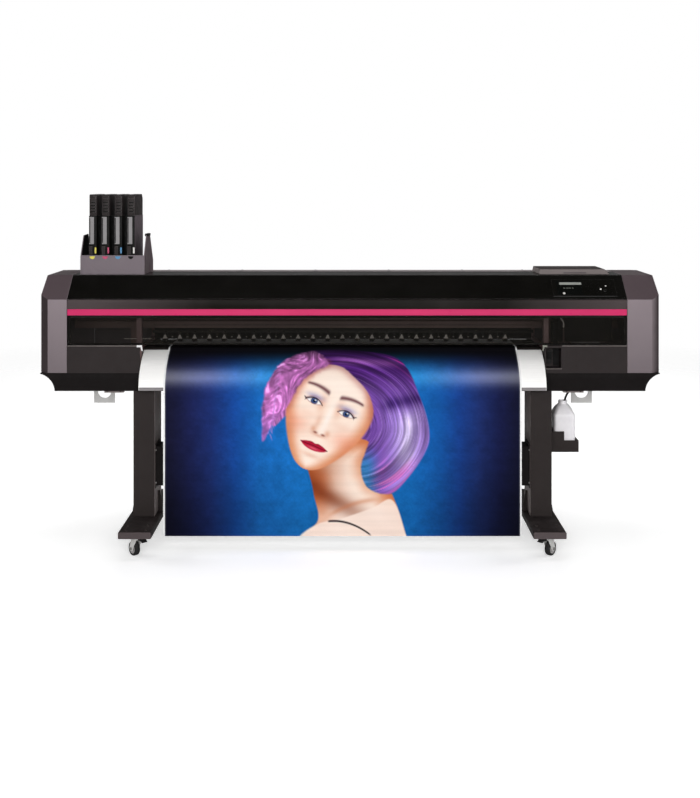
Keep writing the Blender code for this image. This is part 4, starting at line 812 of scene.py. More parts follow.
def paint_sheet():
    C = np.zeros(U.shape + (3,))

    def over(mask, rgb):
        nonlocal C
        m = mask[..., None]
        C = C * (1 - m) + np.asarray(rgb, float) * m

    def add(mask, rgb):
        nonlocal C
        C = np.clip(C + mask[..., None] * np.asarray(rgb, float), 0, 255)

    # background: deep blue, lit behind the head, nearly black at the sides
    stops = [160, 172, 190, 210, 235, 260, 300, 350, 410, 440, 460, 480, 500, 514, 524]
    cols = [(23, 23, 44), (24, 25, 51), (28, 34, 78), (30, 47, 108), (24, 72, 152), (26, 102, 182), (26, 114, 194), (26, 118, 198),
            (24, 110, 190), (22, 84, 160), (26, 62, 136), (30, 46, 102), (24, 29, 68), (22, 24, 51), (20, 21, 43)]
    for k in range(3):
        C[..., k] = np.interp(U, stops, [c[k] for c in cols])
    # darker towards the bottom corners, painted shade under the cover's lip, a painted reflection as a lighter band
    # where the sheet turns down
    fall = smooth(420, 545, W) * (0.16 + 0.30 * smooth(60, 190, np.abs(U - 345)))
    C *= (1 - fall)[..., None]
    C *= (0.90 + 0.20 * fbm(U / 9, V / 9, 3, 4))[..., None]
    C *= (0.94 + 0.12 * fbm(U / 1.6, V / 1.6, 8, 2))[..., None]
    over(smooth(376, 346, W) * 0.97, (20, 19, 22))
    band = np.exp(-((W - 377) / 9.0) ** 2)
    C = C + band[..., None] * np.stack([84 * smooth(30, 150, np.abs(U - 345)), 34 + 50 * smooth(60, 160, np.abs(U - 345)), 26 + 50 * smooth(60, 160, np.abs(U - 345))], -1)
    C = np.clip(C, 0, 255)

    # head frame: own construction on plain proportions; ex across the face, ey up, one unit = half the head's height
    tilt = math.radians(23)
    cx, cy, H = 330.0, 408.0, 66.0
    rx = (U - cx) * math.cos(tilt) + (V - cy) * math.sin(tilt)
    ry = (U - cx) * math.sin(tilt) - (V - cy) * math.cos(tilt)
    ex, ey = rx / H, ry / H
    back = lambda x, y: (cx + H * (x * math.cos(tilt) + y * math.sin(tilt)), cy + H * (x * math.sin(tilt) - y * math.cos(tilt)))

    # hair behind the face: a rounded bob with loose locks at the left
    bob = spline([back(*p) for p in ((-0.90, 0.0), (-0.94, 0.38), (-0.62, 0.84), (0.06, 1.10), (0.62, 1.13), (1.10, 0.74), (1.48, 0.28), (1.56, -0.10), (1.41, -0.68), (1.24, -0.84), (0.90, -0.84), (0.60, -0.60), (0.0, -0.2), (-0.5, -0.3), (-0.70, -0.58))])
    wob = 1.6 * (fbm(U / 5.0, V / 5.0, 9) - 0.5)
    d_bob = sdf(bob, U, V) + wob

    hx, hy = (ex - 0.30) / 1.22, ey + 0.05
    ang = np.arctan2(hx, hy)                                # direction round the crown
    rad = np.hypot(hx, hy)
    sweep = rad + 0.05 * np.sin(ang * 1.6 + 0.4) + 0.06 * vnoise(ang * 1.6, rad * 1.4, 5)
    strand = 0.55 * fbm(sweep * 24, ang * 0.9, 11, 3) + 0.45 * fbm(sweep * 70, ang * 1.4, 13, 2)
    strand2 = fbm(sweep * 52, ang * 1.1, 17, 2)
    strand3 = fbm(sweep * 34 + 3.0, ang * 0.8, 27, 2)

    def hair_colour():
        col = np.zeros(U.shape + (3,)) + np.array([112, 72, 158.0])

        def tint(mask, rgb):
            nonlocal col
            m = np.clip(mask, 0, 1)[..., None]
            col = col * (1 - m) + np.array(rgb, float) * m

        tint(smooth(398, 366, V), (76, 36, 112))                              # dark crown
        tint(np.exp(-((V - 357 - 0.10 * (U - 350)) / 5.0) ** 2) * smooth(322, 345, U) * smooth(408, 385, U) * 0.65, (158, 92, 176))
        tint(smooth(392, 414, V) * smooth(372, 400, U) * 0.75, (150, 124, 196))
        tint(np.exp(-((V - 402 + 0.20 * (U - 400)) / 6.5) ** 2) * smooth(376, 392, U) * 0.80, (52, 28, 92))
        tint(np.exp(-((U - 407 + 0.10 * (V - 435)) / 9.0) ** 2) * smooth(406, 424, V) * smooth(478, 452, V) * (0.45 + 0.75 * strand2), (206, 190, 232))
        tint(smooth(1.02, 1.20, rad) * smooth(380, 400, U) * smooth(0.38, 0.62, strand3) * 0.85, (168, 52, 140))
        tint(smooth(452, 478, V) * smooth(0.46, 0.62, strand2) * 0.75, (196, 96, 170))
        tint(smooth(384, 366, U) * smooth(440, 468, V) * 0.85, (38, 118, 168))
        tint(smooth(334, 308, U) * smooth(352, 372, V) * 0.85, (198, 118, 190))
        col *= (0.40 + 1.10 * strand)[..., None]
        col += (smooth(0.60, 0.80, strand2) * 0.5)[..., None] * np.array([60, 54, 62.0])
        return np.clip(col, 0, 255)

    hair = hair_colour()
    over(cover_of(d_bob, 1.0), hair)

    # neck and shoulders
    neck = spline([(309, 446), (366, 440), (372, 470), (392, 494), (409, 548), (409, 580), (296, 580), (300, 540), (318, 520), (313, 490)])
    d_neck = sdf(neck, U, V)
    skin_l, skin_d = np.array([250, 228, 212.0]), np.array([206, 118, 74.0])
    fade = smooth(0.0, -26.0, d_neck + 6 * (fbm(U / 14, V / 14, 21) - 0.5))
    nk = skin_d * (1 - fade[..., None]) + skin_l * fade[..., None]
    left_dark = smooth(356, 318, U) * smooth(512, 470, V)
    nk = nk * (1 - 0.55 * left_dark[..., None]) + np.array([150, 66, 30.0]) * 0.55 * left_dark[..., None]
    jaw_shadow = np.exp(-((ey + 1.16 + 0.18 * ex) / 0.15) ** 2) * smooth(-0.7, -0.2, ex)
    nk = nk * (1 - 0.70 * jaw_shadow[..., None]) + np.array([112, 44, 20.0]) * 0.70 * jaw_shadow[..., None]
    sh = smooth(496, 520, V)
    nk = nk * (1 - 0.55 * sh[..., None]) + np.array([252, 232, 220.0]) * 0.55 * sh[..., None]
    over(cover_of(d_neck, 0.9), nk)
    shoulder = spline([(296, 540), (318, 524), (340, 519), (372, 508), (392, 500), (404, 530), (412, 580), (270, 580)])
    over(cover_of(sdf(shoulder, U, V), 1.0) * 0.9, np.array([250, 229, 216.0]))
    clav = np.abs((V - 507) - (U - 345) * -0.42 - 0.006 * (U - 345) ** 2)
    over(np.exp(-(clav / 2.6) ** 2) * smooth(322, 340, U) * smooth(386, 366, U) * 0.45, (196, 118, 80))
    strap = np.abs(V - (521 + 0.0105 * (U - 334) ** 2))
    over(cover_of(strap - 0.9, 0.7) * smooth(327, 330, U) * smooth(372, 368, U), (34, 26, 30))

    # face: an oval with a softly narrowing chin
    yy = np.clip((ey + 0.06) / 0.94, -1, 1)
    half_w = 0.665 * np.sqrt(np.clip(1 - yy * yy, 0, 1)) * (1 - 0.24 * smooth(0.1, -1.0, ey)) + 1e-6
    d_face = (np.abs(ex) - half_w) * H * 0.8
    d_face = np.where(np.abs((ey + 0.06) / 0.94) >= 1, 30.0, d_face)
    fm = cover_of(d_face, 1.2)
    rim_l = smooth(0.0, -13.0, d_face)
    f_col = np.array([222, 146, 106.0]) * (1 - rim_l[..., None]) + np.array([252, 230, 214.0]) * rim_l[..., None]
    over(fm, f_col)

    g = lambda x, y, sx, sy: np.exp(-((ex - x) / sx) ** 2 - ((ey - y) / sy) ** 2) * fm
    over(g(0.02, 0.36, 0.42, 0.22) * 0.35, (255, 246, 238))                # forehead light
    for s in (-1, 1):
        over(g(s * 0.40, -0.40, 0.20, 0.15) * 0.50, (238, 150, 120))        # cheeks
        over(g(s * 0.52, -0.60, 0.13, 0.24) * 0.40, (206, 122, 84))         # under the cheekbones
        over(g(s * 0.27, -0.20, 0.17, 0.06) * 0.18, (226, 168, 144))
        over(g(s * 0.14, 0.02, 0.06, 0.13) * 0.42, (214, 142, 110))         # sides of the nose root
    over(g(0.03, -0.16, 0.045, 0.24) * 0.55, (255, 248, 242))               # nose ridge
    over(g(-0.085, -0.27, 0.045, 0.15) * 0.32, (212, 140, 108))
    over(g(0.02, -0.36, 0.075, 0.06) * 0.45, (255, 240, 230))               # tip
    for s in (-1, 1):
        over(g(s * 0.115, -0.385, 0.045, 0.05) * 0.45, (206, 130, 98))      # wings
        over(g(s * 0.062, -0.425, 0.030, 0.016) * 0.85, (120, 54, 44))      # nostrils
    over(g(0.0, -0.455, 0.11, 0.022) * 0.40, (206, 128, 98))
    over(g(0.0, -0.775, 0.16, 0.035) * 0.35, (214, 142, 112))               # under the lip
    over(g(0.0, -0.88, 0.13, 0.07) * 0.35, (255, 240, 228))                 # chin

    # eyes: almond shapes at half the head's height, an eye's width apart
    for s in (-1, 1):
        ux, uy = (ex - s * 0.262) / 0.128, (ey - 0.0) / 0.128
        upper = 0.44 * (1 - ux * ux) ** 1.0
        lower = -0.30 * (1 - ux * ux)
        over(np.exp(-((ux) / 0.95) ** 2 - ((uy - 0.62) / 0.34) ** 2) * fm * 0.62, (118, 120, 186))   # eye shadow
        over(np.exp(-((ux - 0.1 * s) / 1.0) ** 2 - ((uy - 0.95) / 0.22) ** 2) * fm * 0.28, (250, 226, 214))
        open_eye = (np.abs(ux) < 1) * smooth(-0.06, 0.06, upper - uy) * smooth(-0.06, 0.06, uy - lower)
        over(open_eye, (244, 240, 240))
        ir = np.hypot(ux, uy - 0.06)
        over(open_eye * (1 - smooth(0.33, 0.41, ir)), (62, 84, 132))
        over(open_eye * np.exp(-((ir - 0.37) / 0.06) ** 2) * 0.7, (30, 36, 66))
        over(open_eye * (1 - smooth(0.12, 0.19, ir)), (14, 13, 20))
        over(open_eye * (1 - smooth(0.06, 0.11, np.hypot(ux - 0.12, uy - 0.19))), (255, 255, 255))
        over(open_eye * smooth(0.16, 0.0, upper - uy) * 0.6, (96, 72, 84))
        lid = np.abs(uy - upper) / (0.075 + 0.05 * np.clip(s * ux, 0, 1))
        over((np.abs(ux) < 1.12) * np.exp(-lid**2) * 0.95 * fm, (44, 24, 34))
        flick = np.abs(uy - 0.02 - 0.42 * (s * ux - 0.95))
        over(np.exp(-(flick / 0.07) ** 2) * smooth(0.85, 0.95, s * ux) * smooth(1.38, 1.2, s * ux) * fm * 0.85, (44, 24, 34))
        over((np.abs(ux) < 1.0) * np.exp(-((uy - lower) / 0.05) ** 2) * 0.55 * fm, (150, 84, 80))
        over((np.abs(ux) < 1.0) * np.exp(-((uy - upper - 0.22) / 0.05) ** 2) * 0.35 * fm, (170, 104, 96))
        # brow
        bx = (ex - s * 0.27) / 0.19
        by = ey - (0.215 + 0.030 * (1 - (bx - 0.25 * s) ** 2))
        over(np.exp(-(by / (0.026 - 0.008 * np.clip(s * bx, -1, 1))) ** 2) * smooth(1.08, 0.85, np.abs(bx)) * fm * 0.85, (92, 52, 58))

    # mouth, closed and level
    mx, my = ex / 0.215, ey + 0.625
    up = 0.052 * (1 - mx**2) * (1 - 0.30 * np.exp(-(mx / 0.16) ** 2)) + 0.004
    lo = -0.070 * np.clip(1 - mx**2, 0, 1) ** 0.8
    lips = (np.abs(mx) < 1) * smooth(-0.008, 0.008, up - my) * smooth(-0.008, 0.008, my - lo) * fm
    over(lips, (186, 28, 58))
    over(lips * smooth(0.0, 0.045, my) * 0.45, (128, 14, 40))
    over(np.exp(-(mx / 0.42) ** 2 - ((my + 0.036) / 0.014) ** 2) * lips * 0.6, (240, 130, 150))
    over((np.abs(mx) < 1.05) * np.exp(-((my - 0.002 * np.cos(mx * 6)) / 0.007) ** 2) * 0.9 * fm, (84, 12, 30))

    # hair in front: parting, a sweep over each temple and down beside the cheeks
    fringe = spline([back(*p) for p in ((-0.78, 0.60), (-0.55, 0.86), (0.08, 1.12), (0.64, 1.15), (1.12, 0.76), (1.51, 0.29), (1.59, -0.09), (1.44, -0.70), (1.27, -0.88), (0.98, -0.88), (0.78, -0.64), (0.75, -0.30), (0.68, 0.10), (0.46, 0.42), (0.10, 0.60), (-0.12, 0.66), (-0.38, 0.58), (-0.56, 0.36))])
    d_fr = sdf(fringe, U, V) + 1.2 * (strand - 0.5)
    sh_f = np.exp(-(np.maximum(d_fr, 0) / 5.0) ** 2) * fm * 0.42
    over(sh_f, (150, 70, 72))
    over(cover_of(d_fr, 1.0), hair)
    lock = spline([back(*p) for p in ((-0.30, 0.64), (-0.62, 0.82), (-0.92, 0.50), (-1.02, 0.10), (-0.98, -0.30), (-0.84, -0.66), (-0.74, -0.86), (-0.70, -0.52), (-0.60, -0.20), (-0.56, 0.14), (-0.44, 0.42))])
    d_lk = sdf(lock, U, V) + 2.2 * (fbm(U / 4, V / 4, 31) - 0.5)
    over(np.exp(-(np.maximum(d_lk, 0) / 4.0) ** 2) * fm * 0.35, (160, 76, 84))
    curl = 2.0 * np.sin(ey * 6 + 2 * vnoise(ex * 4, ey * 4, 7)) + 1.2 * np.sin(ex * 11)
    wave = 0.5 * fbm(ex * 16 + curl, ey * 5 + 0.6 * curl, 41, 3) + 0.5 * fbm(ex * 34 + 2 * curl, ey * 9 - curl, 43, 2)
    lk = np.array([196, 116, 190.0]) * (0.30 + 1.30 * wave)[..., None] + (smooth(0.55, 0.75, wave))[..., None] * np.array([46, 36, 40.0])
    lk = lk * (1 - 0.35 * smooth(400, 440, V)[..., None]) + np.array([120, 96, 190.0]) * 0.35 * smooth(400, 440, V)[..., None]
    over(cover_of(d_lk, 1.4), np.clip(lk, 0, 255))
    # loose ends at the left and stray strands
    for i in range(16):
        a0 = 2.2 + 0.09 * i
        p0 = np.array(back(-0.92 + 0.016 * i, 0.25 - 0.065 * i))
        dirn = np.array([-math.cos(0.5 + 0.1 * i), math.sin(0.5 + 0.1 * i)])
        rel_u, rel_v = U - p0[0], V - p0[1]
        al = rel_u * dirn[0] + rel_v * dirn[1]
        pe = -rel_u * dirn[1] + rel_v * dirn[0] - 0.05 * al * al / 3.0 * (1 if i % 2 else -1)
        ln = 5 + 5 * float(hash2(i, 3))
        over(np.exp(-(pe / 0.55) ** 2) * smooth(-2, 0, al) * smooth(ln, ln * 0.4, al) * 0.7, (188, 132, 204))
    # painted shade over the whole where the sheet runs up under the cover
    over(smooth(360, 345, W) * 0.80, (18, 16, 20))
    # white margins
    edge_d = (MEDIA_HALF - MARGIN) - np.abs(PX - XC)
    m = (1 - smooth(-0.0004, 0.0002, edge_d))
    over(m, (240, 240, 240))
    c = np.clip(C, 0, 255) / 255.0
    return np.where(c <= 0.04045, c / 12.92, ((c + 0.055) / 1.055) ** 2.4)


INK = paint_sheet()


def make_sheet():
    rows, cols = PX.shape
    nrm = np.gradient(path, axis=0)
    nrm /= np.linalg.norm(nrm, axis=1)[:, None]
    nrm = np.stack([nrm[:, 1], -nrm[:, 0]], 1)          # towards the machine's front and down
    if nrm[-1, 0] > 0:
        nrm = -nrm
    front = np.stack([PX, PY, PZ], -1)
    backp = path - nrm * MEDIA_T
    nf = rows * cols
    verts = np.concatenate([front.reshape(-1, 3), np.stack([np.full(rows, XS[0]), backp[:, 0], backp[:, 1]], 1), np.stack([np.full(rows, XS[-1]), backp[:, 0], backp[:, 1]], 1)])
    idx = np.arange(nf).reshape(rows, cols)
    a, b, c, d = idx[:-1, :-1], idx[:-1, 1:], idx[1:, 1:], idx[1:, :-1]
    quads = np.stack([a, d, c, b], -1).reshape(-1, 4)
    L, Rr = nf + np.arange(rows), nf + rows + np.arange(rows)
    faces = quads.tolist()
    n_front = len(faces)
    for i in range(rows - 1):
        faces.append([int(L[i]), int(Rr[i]), int(Rr[i + 1]), int(L[i + 1])])
        faces.append([int(idx[i, 0]), int(L[i]), int(L[i + 1]), int(idx[i + 1, 0])])
        faces.append([int(idx[i, -1]), int(idx[i + 1, -1]), int(Rr[i + 1]), int(Rr[i])])
    faces.append([int(L[0])] + [int(v) for v in idx[0]] + [int(Rr[0])])
    faces.append([int(Rr[-1])] + [int(v) for v in idx[-1][::-1]] + [int(L[-1])])
    me = bpy.data.meshes.new("printed_sheet")
    me.from_pydata(verts.tolist(), [], faces)
    me.materials.append(M["print"])
    me.materials.append(M["white"])
    mi = np.ones(len(faces), np.int32)
    mi[:n_front] = 0
    me.polygons.foreach_set("material_index", mi)
    at = me.color_attributes.new("ink", "FLOAT_COLOR", "POINT")
    col = np.ones((len(verts), 4), np.float32)
    col[:nf, :3] = INK.reshape(-1, 3)
    at.data.foreach_set("color", col.ravel())
    me.color_attributes.active_color = at
    me.color_attributes.render_color_index = 0
    bm = bmesh.new()
    bm.from_mesh(me)
    bmesh.ops.recalc_face_normals(bm, faces=bm.faces)
    bm.to_mesh(me)
    bm.free()
    for p in me.polygons:
        p.use_smooth = True
    me.set_sharp_from_angle(angle=math.radians(40))
    ob = bpy.data.objects.new("printed_sheet", me)
    LINK(ob)
    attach(ob, "machine")
    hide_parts("printed_media")
    # the unprinted length from the roll to the print line
    bm = bmesh.new()
    pts = back_part[:-1] + [(-0.0572, PLATEN_Z + 0.0006)]
    add_prism(bm, pts + offset_line(pts, -MEDIA_T)[::-1], XC - MEDIA_HALF, XC + MEDIA_HALF, "X")
    finish_piece("blank_sheet", bm, M["white"], "machine", smooth=40)


make_sheet()


# ------------------------------------------------------------------ media roll, core, shaft and flanges
def roll_end_mat():
    """The roll's end: fine rings of wound material."""
    t = Tree("roll_end_windings")
    o = t.xyz()
    yy = t.math("SUBTRACT", o["Y"], ROLL_Y)
    zz = t.math("SUBTRACT", o["Z"], ROLL_Z)
    r = t.math("SQRT", t.math("ADD", t.math("MULTIPLY", yy, yy), t.math("MULTIPLY", zz, zz)))
    ring = t.math("SINE", t.math("MULTIPLY", r, 5200.0))
    slow = t.math("SINE", t.math("MULTIPLY", t.math("ADD", r, t.math("MULTIPLY", t.noise(20, 3), 0.004)), 1500.0))
    f = t.ramp(t.math("ADD", ring, slow), -2, 2, 0, 1)
    t.put(t.p.inputs["Base Color"], t.mix(f, lin(205, 203, 200), lin(240, 239, 238)))
    t.p.inputs["Roughness"].default_value = 0.6
    t.link(t.bump(ring, 0.00015), t.p.inputs["Normal"])
    return t.m


M["roll_end"] = roll_end_mat()
bm = bmesh.new()
MX = Matrix.Translation((XC, ROLL_Y, ROLL_Z)) @ Matrix.Rotation(math.radians(90), 4, "Y")
Rr0 = ROLL_R
rp = [(CORE_R + 0.0035, -MEDIA_HALF), (Rr0 - 0.0006, -MEDIA_HALF), (Rr0, -MEDIA_HALF + 0.0008), (Rr0, MEDIA_HALF - 0.0008), (Rr0 - 0.0006, MEDIA_HALF), (CORE_R + 0.0035, MEDIA_HALF)]
fs = add_lathe(bm, rp, MX, 96, 0)
for f in fs:
    c = f.calc_center_median()
    if abs(abs(c.x - XC) - MEDIA_HALF) < 0.0003:
        f.material_index = 1
core = [(CORE_R, -MEDIA_HALF), (CORE_R + 0.0035, -MEDIA_HALF), (CORE_R + 0.0035, MEDIA_HALF), (CORE_R, MEDIA_HALF)]
# one closed ring: windings outside, card core inside
bm.free()
bm = bmesh.new()
ring = [(CORE_R, -MEDIA_HALF)] + rp + [(CORE_R, MEDIA_HALF)]
fs = add_lathe(bm, ring, MX, 96, 0, closed=True)
for f in bm.faces:
    c = f.calc_center_median()
    rr = math.hypot(c.y - ROLL_Y, c.z - ROLL_Z)
    if rr < CORE_R + 0.0033:
        f.material_index = 2
    elif abs(abs(c.x - XC) - MEDIA_HALF) < 0.0003:
        f.material_index = 1
finish_piece("media_roll_skin", bm, [M["white"], M["roll_end"], M["card"]], "media_roll", ("media_roll",), smooth=35)

bm = bmesh.new()
FI = MEDIA_HALF + 0.0006
SH = 0.794
prof = [
    (0, -SH), (0.0108, -SH), (0.012, -SH + 0.0012), (0.012, -FI - 0.010), (0.030, -FI - 0.0095), (0.034, -FI - 0.0062), (0.084, -FI - 0.0056), (0.0893, -FI - 0.0044), (0.090, -FI - 0.003),
    (0.0893, -FI - 0.0004), (0.088, -FI), (CORE_R - 0.0006, -FI), (CORE_R - 0.0006, -FI + 0.048), (CORE_R - 0.003, -FI + 0.05), (0.012, -FI + 0.05),
]
prof = prof + [(r, -h) for r, h in prof[::-1]]
add_lathe(bm, prof, MX, 72, 0)
for f in bm.faces:
    c = f.calc_center_median()
    f.material_index = 1 if math.hypot(c.y - ROLL_Y, c.z - ROLL_Z) > 0.0125 and abs(c.x - XC) > FI - 0.051 else 0
# raised spokes and a locking knob on each flange
for s in (-1, 1):
    xo = XC + s * (FI + 0.0056)
    for k in range(6):
        a = math.radians(60 * k + 15)
        mat = Matrix.Translation((xo, ROLL_Y, ROLL_Z)) @ Matrix.Rotation(a, 4, "X")
        lo, hi = sorted((-0.0004 * s, 0.0022 * s))
        add_box(bm, (lo, 0.036, -0.0035), (hi, 0.080, 0.0035), 0.0008, 2, 1, mat)
    add_lathe(bm, [(0, 0), (0.0195, 0), (0.020, 0.001), (0.020, 0.0065), (0.018, 0.008), (0.0125, 0.0085), (0, 0.0085)], frame_of((XC + s * (FI + 0.0098), ROLL_Y, ROLL_Z), (s, 0, 0)), 24, 2)
finish_piece("roll_shaft_skin", bm, [M["steel_x"], M["inner"], M["rubber"]], "media_roll", ("roll_shaft",), smooth=40, recalc=True)


# ------------------------------------------------------------------ casters
def caster_skin(tag):
    j = JOINT[f"wheel_{tag}_spin"]
    o, ax = Vector(j["pos_m"]), Vector(j["axis"]).normalized()
    sv = JOINT[f"caster_{tag}_swivel"]
    so = Vector(sv["pos_m"])
    side = 1 if so.x > 0 else -1
    outw = ax if ax.x * side > 0 else -ax            # the hub face that looks outwards
    mat = frame_of(o, outw)
    bm = bmesh.new()
    # tyre
    tyre = [(0.0205, -0.0112), (0.0262, -0.0118), (0.0286, -0.0104), (0.0300, -0.0068), (0.0300, 0.0068), (0.0286, 0.0104), (0.0262, 0.0118), (0.0205, 0.0112)]
    add_lathe(bm, tyre, mat, 48, 0, closed=True)
    # hub with a dished face and a raised boss
    hub = [(0.0046, -0.0118), (0.0085, -0.0118), (0.0095, -0.0100), (0.0185, -0.0092), (0.0204, -0.0106), (0.0204, 0.0106), (0.0196, 0.0112), (0.0175, 0.0098), (0.0105, 0.0090), (0.0088, 0.0112), (0.0082, 0.0118), (0.0046, 0.0118)]
    add_lathe(bm, hub, mat, 48, 1, closed=True)
    for k in range(5):
        a = math.radians(72 * k)
        m2 = mat @ Matrix.Rotation(a, 4, "Z")
        add_box(bm, (0.0092, -0.0011, 0.0086), (0.0188, 0.0011, 0.0104), 0.0004, 1, 1, m2)
    finish_piece(f"caster_wheel_{tag}_skin", bm, [M["tyre"], M["hub"]], f"wheel_{tag}", (f"caster_wheel_{tag}",), smooth=38)

    # fork: swivel race, kingpin cap, arched cheeks and the axle bolt
    bm = bmesh.new()
    fwd = Vector((o.x - so.x, o.y - so.y, 0)).normalized()       # trail direction
    top = 0.0886 - GAP
    Mz = Matrix.Translation((so.x, so.y, 0))
    add_lathe(bm, [(0, top), (0.0235, top), (0.024, top - 0.0006), (0.024, top - 0.0040), (0.0222, top - 0.0046), (0.0222, top - 0.0062), (0.0238, top - 0.0068), (0.0238, top - 0.0125), (0.0225, top - 0.0140), (0.0150, top - 0.0165), (0.0070, top - 0.0180), (0, top - 0.0180)], Mz, 40, 0)
    lat = Vector((-fwd.y, fwd.x, 0))
    B = Matrix((( lat.x, fwd.x, 0, so.x), (lat.y, fwd.y, 0, so.y), (0, 0, 1, 0), (0, 0, 0, 1)))
    for s in (-1, 1):
        xa, xb = sorted((s * 0.0141, s * 0.0163))
        prof2 = [(-0.0195, top - 0.0125), (-0.0170, top - 0.0085), (0.0150, top - 0.0085), (0.0190, top - 0.0125), (0.0300, 0.0400), (0.0340, 0.0335), (0.0325, 0.0250), (0.0270, 0.0205), (0.0175, 0.0195), (0.0105, 0.0225), (0.0062, 0.0300), (-0.0030, 0.0480), (-0.0120, 0.0610)]
        b2 = bmesh.new()
        add_prism(b2, prof2, xa, xb, "X", 0.0005, 1, 0)
        tmp = bpy.data.meshes.new("tmp")
        b2.to_mesh(tmp)
        b2.free()
        tmp.transform(B)
        bm.from_mesh(tmp)
        bpy.data.meshes.remove(tmp)
        add_lathe(bm, [(0, 0.0), (0.0062, 0.0), (0.0066, 0.0008), (0.0066, 0.0030), (0.0050, 0.0040), (0, 0.0042)], frame_of(o + lat * s * 0.0162, lat * s), 6, 1)
    add_lathe(bm, [(0, -0.0170), (0.0040, -0.0170), (0.0040, 0.0170), (0, 0.0170)], frame_of(o, lat), 20, 1)
    finish_piece(f"caster_yoke_{tag}_skin", bm, [M["zinc"], M["brass"]], f"caster_{tag}", (f"caster_yoke_{tag}",), smooth=36)


for tag in ("front_left", "front_right", "rear_left", "rear_right"):
    caster_skin(tag)
for tag in ("front_left", "front_right"):
    skin(f"caster_brake_{tag}", M["rubber"], 0.0008, 2)

# caster mounting bolts on top of the feet
bm = bmesh.new()
for s in (-1, 1):
    fx = XC + s * LEG_DX
    for y in (-0.390, 0.170):
        for ax_ in (-0.042, 0.042):
            for ay in (-0.030, 0.030):
                add_lathe(bm, [(0, -0.0001), (0.0062, -0.0001), (0.0062, 0.0012), (0.0056, 0.0016), (0.0052, 0.0040), (0.0030, 0.0052), (0, 0.0055)], frame_of((fx + ax_, y + ay, 0.1170), (0, 0, 1)), 20, 0)
finish_piece("foot_bolts", bm, M["leg"], "machine", smooth=36)

# gussets that tie each leg to its foot, and the cross-beam end plates with bolts
bm = bmesh.new()
for s in (-1, 1):
    lx = XC + s * LEG_DX
    xi = lx - s * (LEG_W / 2)
    tri = [(xi - s * 0.0002, 0.1172), (xi - s * 0.0002, 0.207), (xi - s * 0.0085, 0.207), (xi - s * 0.0215, 0.125), (xi - s * 0.0215, 0.1172)]
    add_prism(bm, [(u, v) for u, v in tri], -0.136, -0.130, "Y", 0.0006, 1, 0)
    xo = lx + s * (LEG_W / 2)
    tri = [(xo + s * 0.0002, 0.1172), (xo + s * 0.0002, 0.190), (xo + s * 0.0060, 0.190), (xo + s * 0.0200, 0.125), (xo + s * 0.0200, 0.1172)]
    add_prism(bm, [(u, v) for u, v in tri], -0.136, -0.130, "Y", 0.0006, 1, 0)
    # cross-beam end plates and their bolts on the leg's inner face
    add_box(bm, *[tuple(q) for q in zip(*[sorted(p) for p in ((xi - s * 0.0003, xi - s * 0.0043), (-0.2235, -0.1065), (0.238, 0.428))])], 0.0008, 1, 0)
    for z in (0.262, 0.404):
        for y in (-0.2190, -0.1110):
            add_screw(bm, (xi - s * 0.0043, y, z), (-s, 0, 0), 0.0042, 1)
finish_piece("stand_gussets", bm, [M["leg"], M["brass"]], "machine", smooth=36)


# ------------------------------------------------------------------ waste bottle and hose
BX, BY, BZ0, BZ1 = 0.9385, -0.120, 0.3920, 0.6010


def square_ring(bm, h, r, z, n=7):
    pts = []
    for q in range(4):
        cxx = (h - r) * (1 if q in (0, 3) else -1)
        cyy = (h - r) * (1 if q in (0, 1) else -1)
        for k in range(n):
            a = math.radians(q * 90 + k * 90 / n)
            pts.append(bm.verts.new((BX + cxx + r * math.cos(a), BY + cyy + r * math.sin(a), z)))
    return pts


bm = bmesh.new()
lv = [(0.040, 0.010, BZ0), (0.0450, 0.013, BZ0 + 0.0016), (0.0475, 0.014, BZ0 + 0.006)]
for k in range(1, 12):                                   # faint moulded hoops down the body
    z = BZ0 + 0.006 + k * 0.0115
    w = 0.0475 - (0.0007 if k % 3 == 0 else 0.0)
    lv.append((w, 0.014, z))
lv += [(0.0475, 0.014, 0.5400), (0.0462, 0.0155, 0.5460), (0.0430, 0.017, 0.5530), (0.0380, 0.0195, 0.5640), (0.0310, 0.0215, 0.5760), (0.0225, 0.0220, 0.5848), (0.0200, 0.0199, 0.5880),
       (0.0195, 0.0195, 0.5895), (0.0195, 0.0195, 0.5925), (0.0204, 0.0204, 0.5932), (0.0204, 0.0204, 0.5950), (0.0195, 0.0195, 0.5957), (0.0195, 0.0195, BZ1 - 0.0006), (0.0190, 0.0190, BZ1), (0.0168, 0.0168, BZ1), (0.0165, 0.0165, BZ1 - 0.001),
       (0.0165, 0.0165, 0.5850), (0.034, 0.018, 0.5650), (0.0455, 0.012, 0.5390), (0.0455, 0.012, BZ0 + 0.007), (0.039, 0.009, BZ0 + 0.0025)]
rings = [square_ring(bm, *l) for l in lv]
bm.faces.new(rings[0])
bm.faces.new(rings[-1])
for a, b in zip(rings, rings[1:]):
    for k in range(len(a)):
        m = (k + 1) % len(a)
        bm.faces.new((a[k], a[m], b[m], b[k]))
finish_piece("waste_bottle_skin", bm, M["bottle"], "waste_bottle", ("waste_bottle",), smooth=50)

hose_c = [(0.976, BY, 0.742), (0.976, BY, 0.668), (BX + 0.012, BY, 0.612), (BX, BY, 0.560)]


def auto_path(pts, n=14):
    out = []
    P = [Vector(p) for p in pts]
    for i in range(len(P) - 1):
        a, b = P[i], P[i + 1]
        pa, pb = P[max(i - 1, 0)], P[min(i + 2, len(P) - 1)]
        ta, tb = (b - pa) * 0.5, (pb - a) * 0.5
        for k in range(n):
            t = k / n
            out.append(a * (2 * t**3 - 3 * t**2 + 1) + ta * (t**3 - 2 * t**2 + t) + b * (-2 * t**3 + 3 * t**2) + tb * (t**3 - t**2))
    out.append(P[-1])
    return out


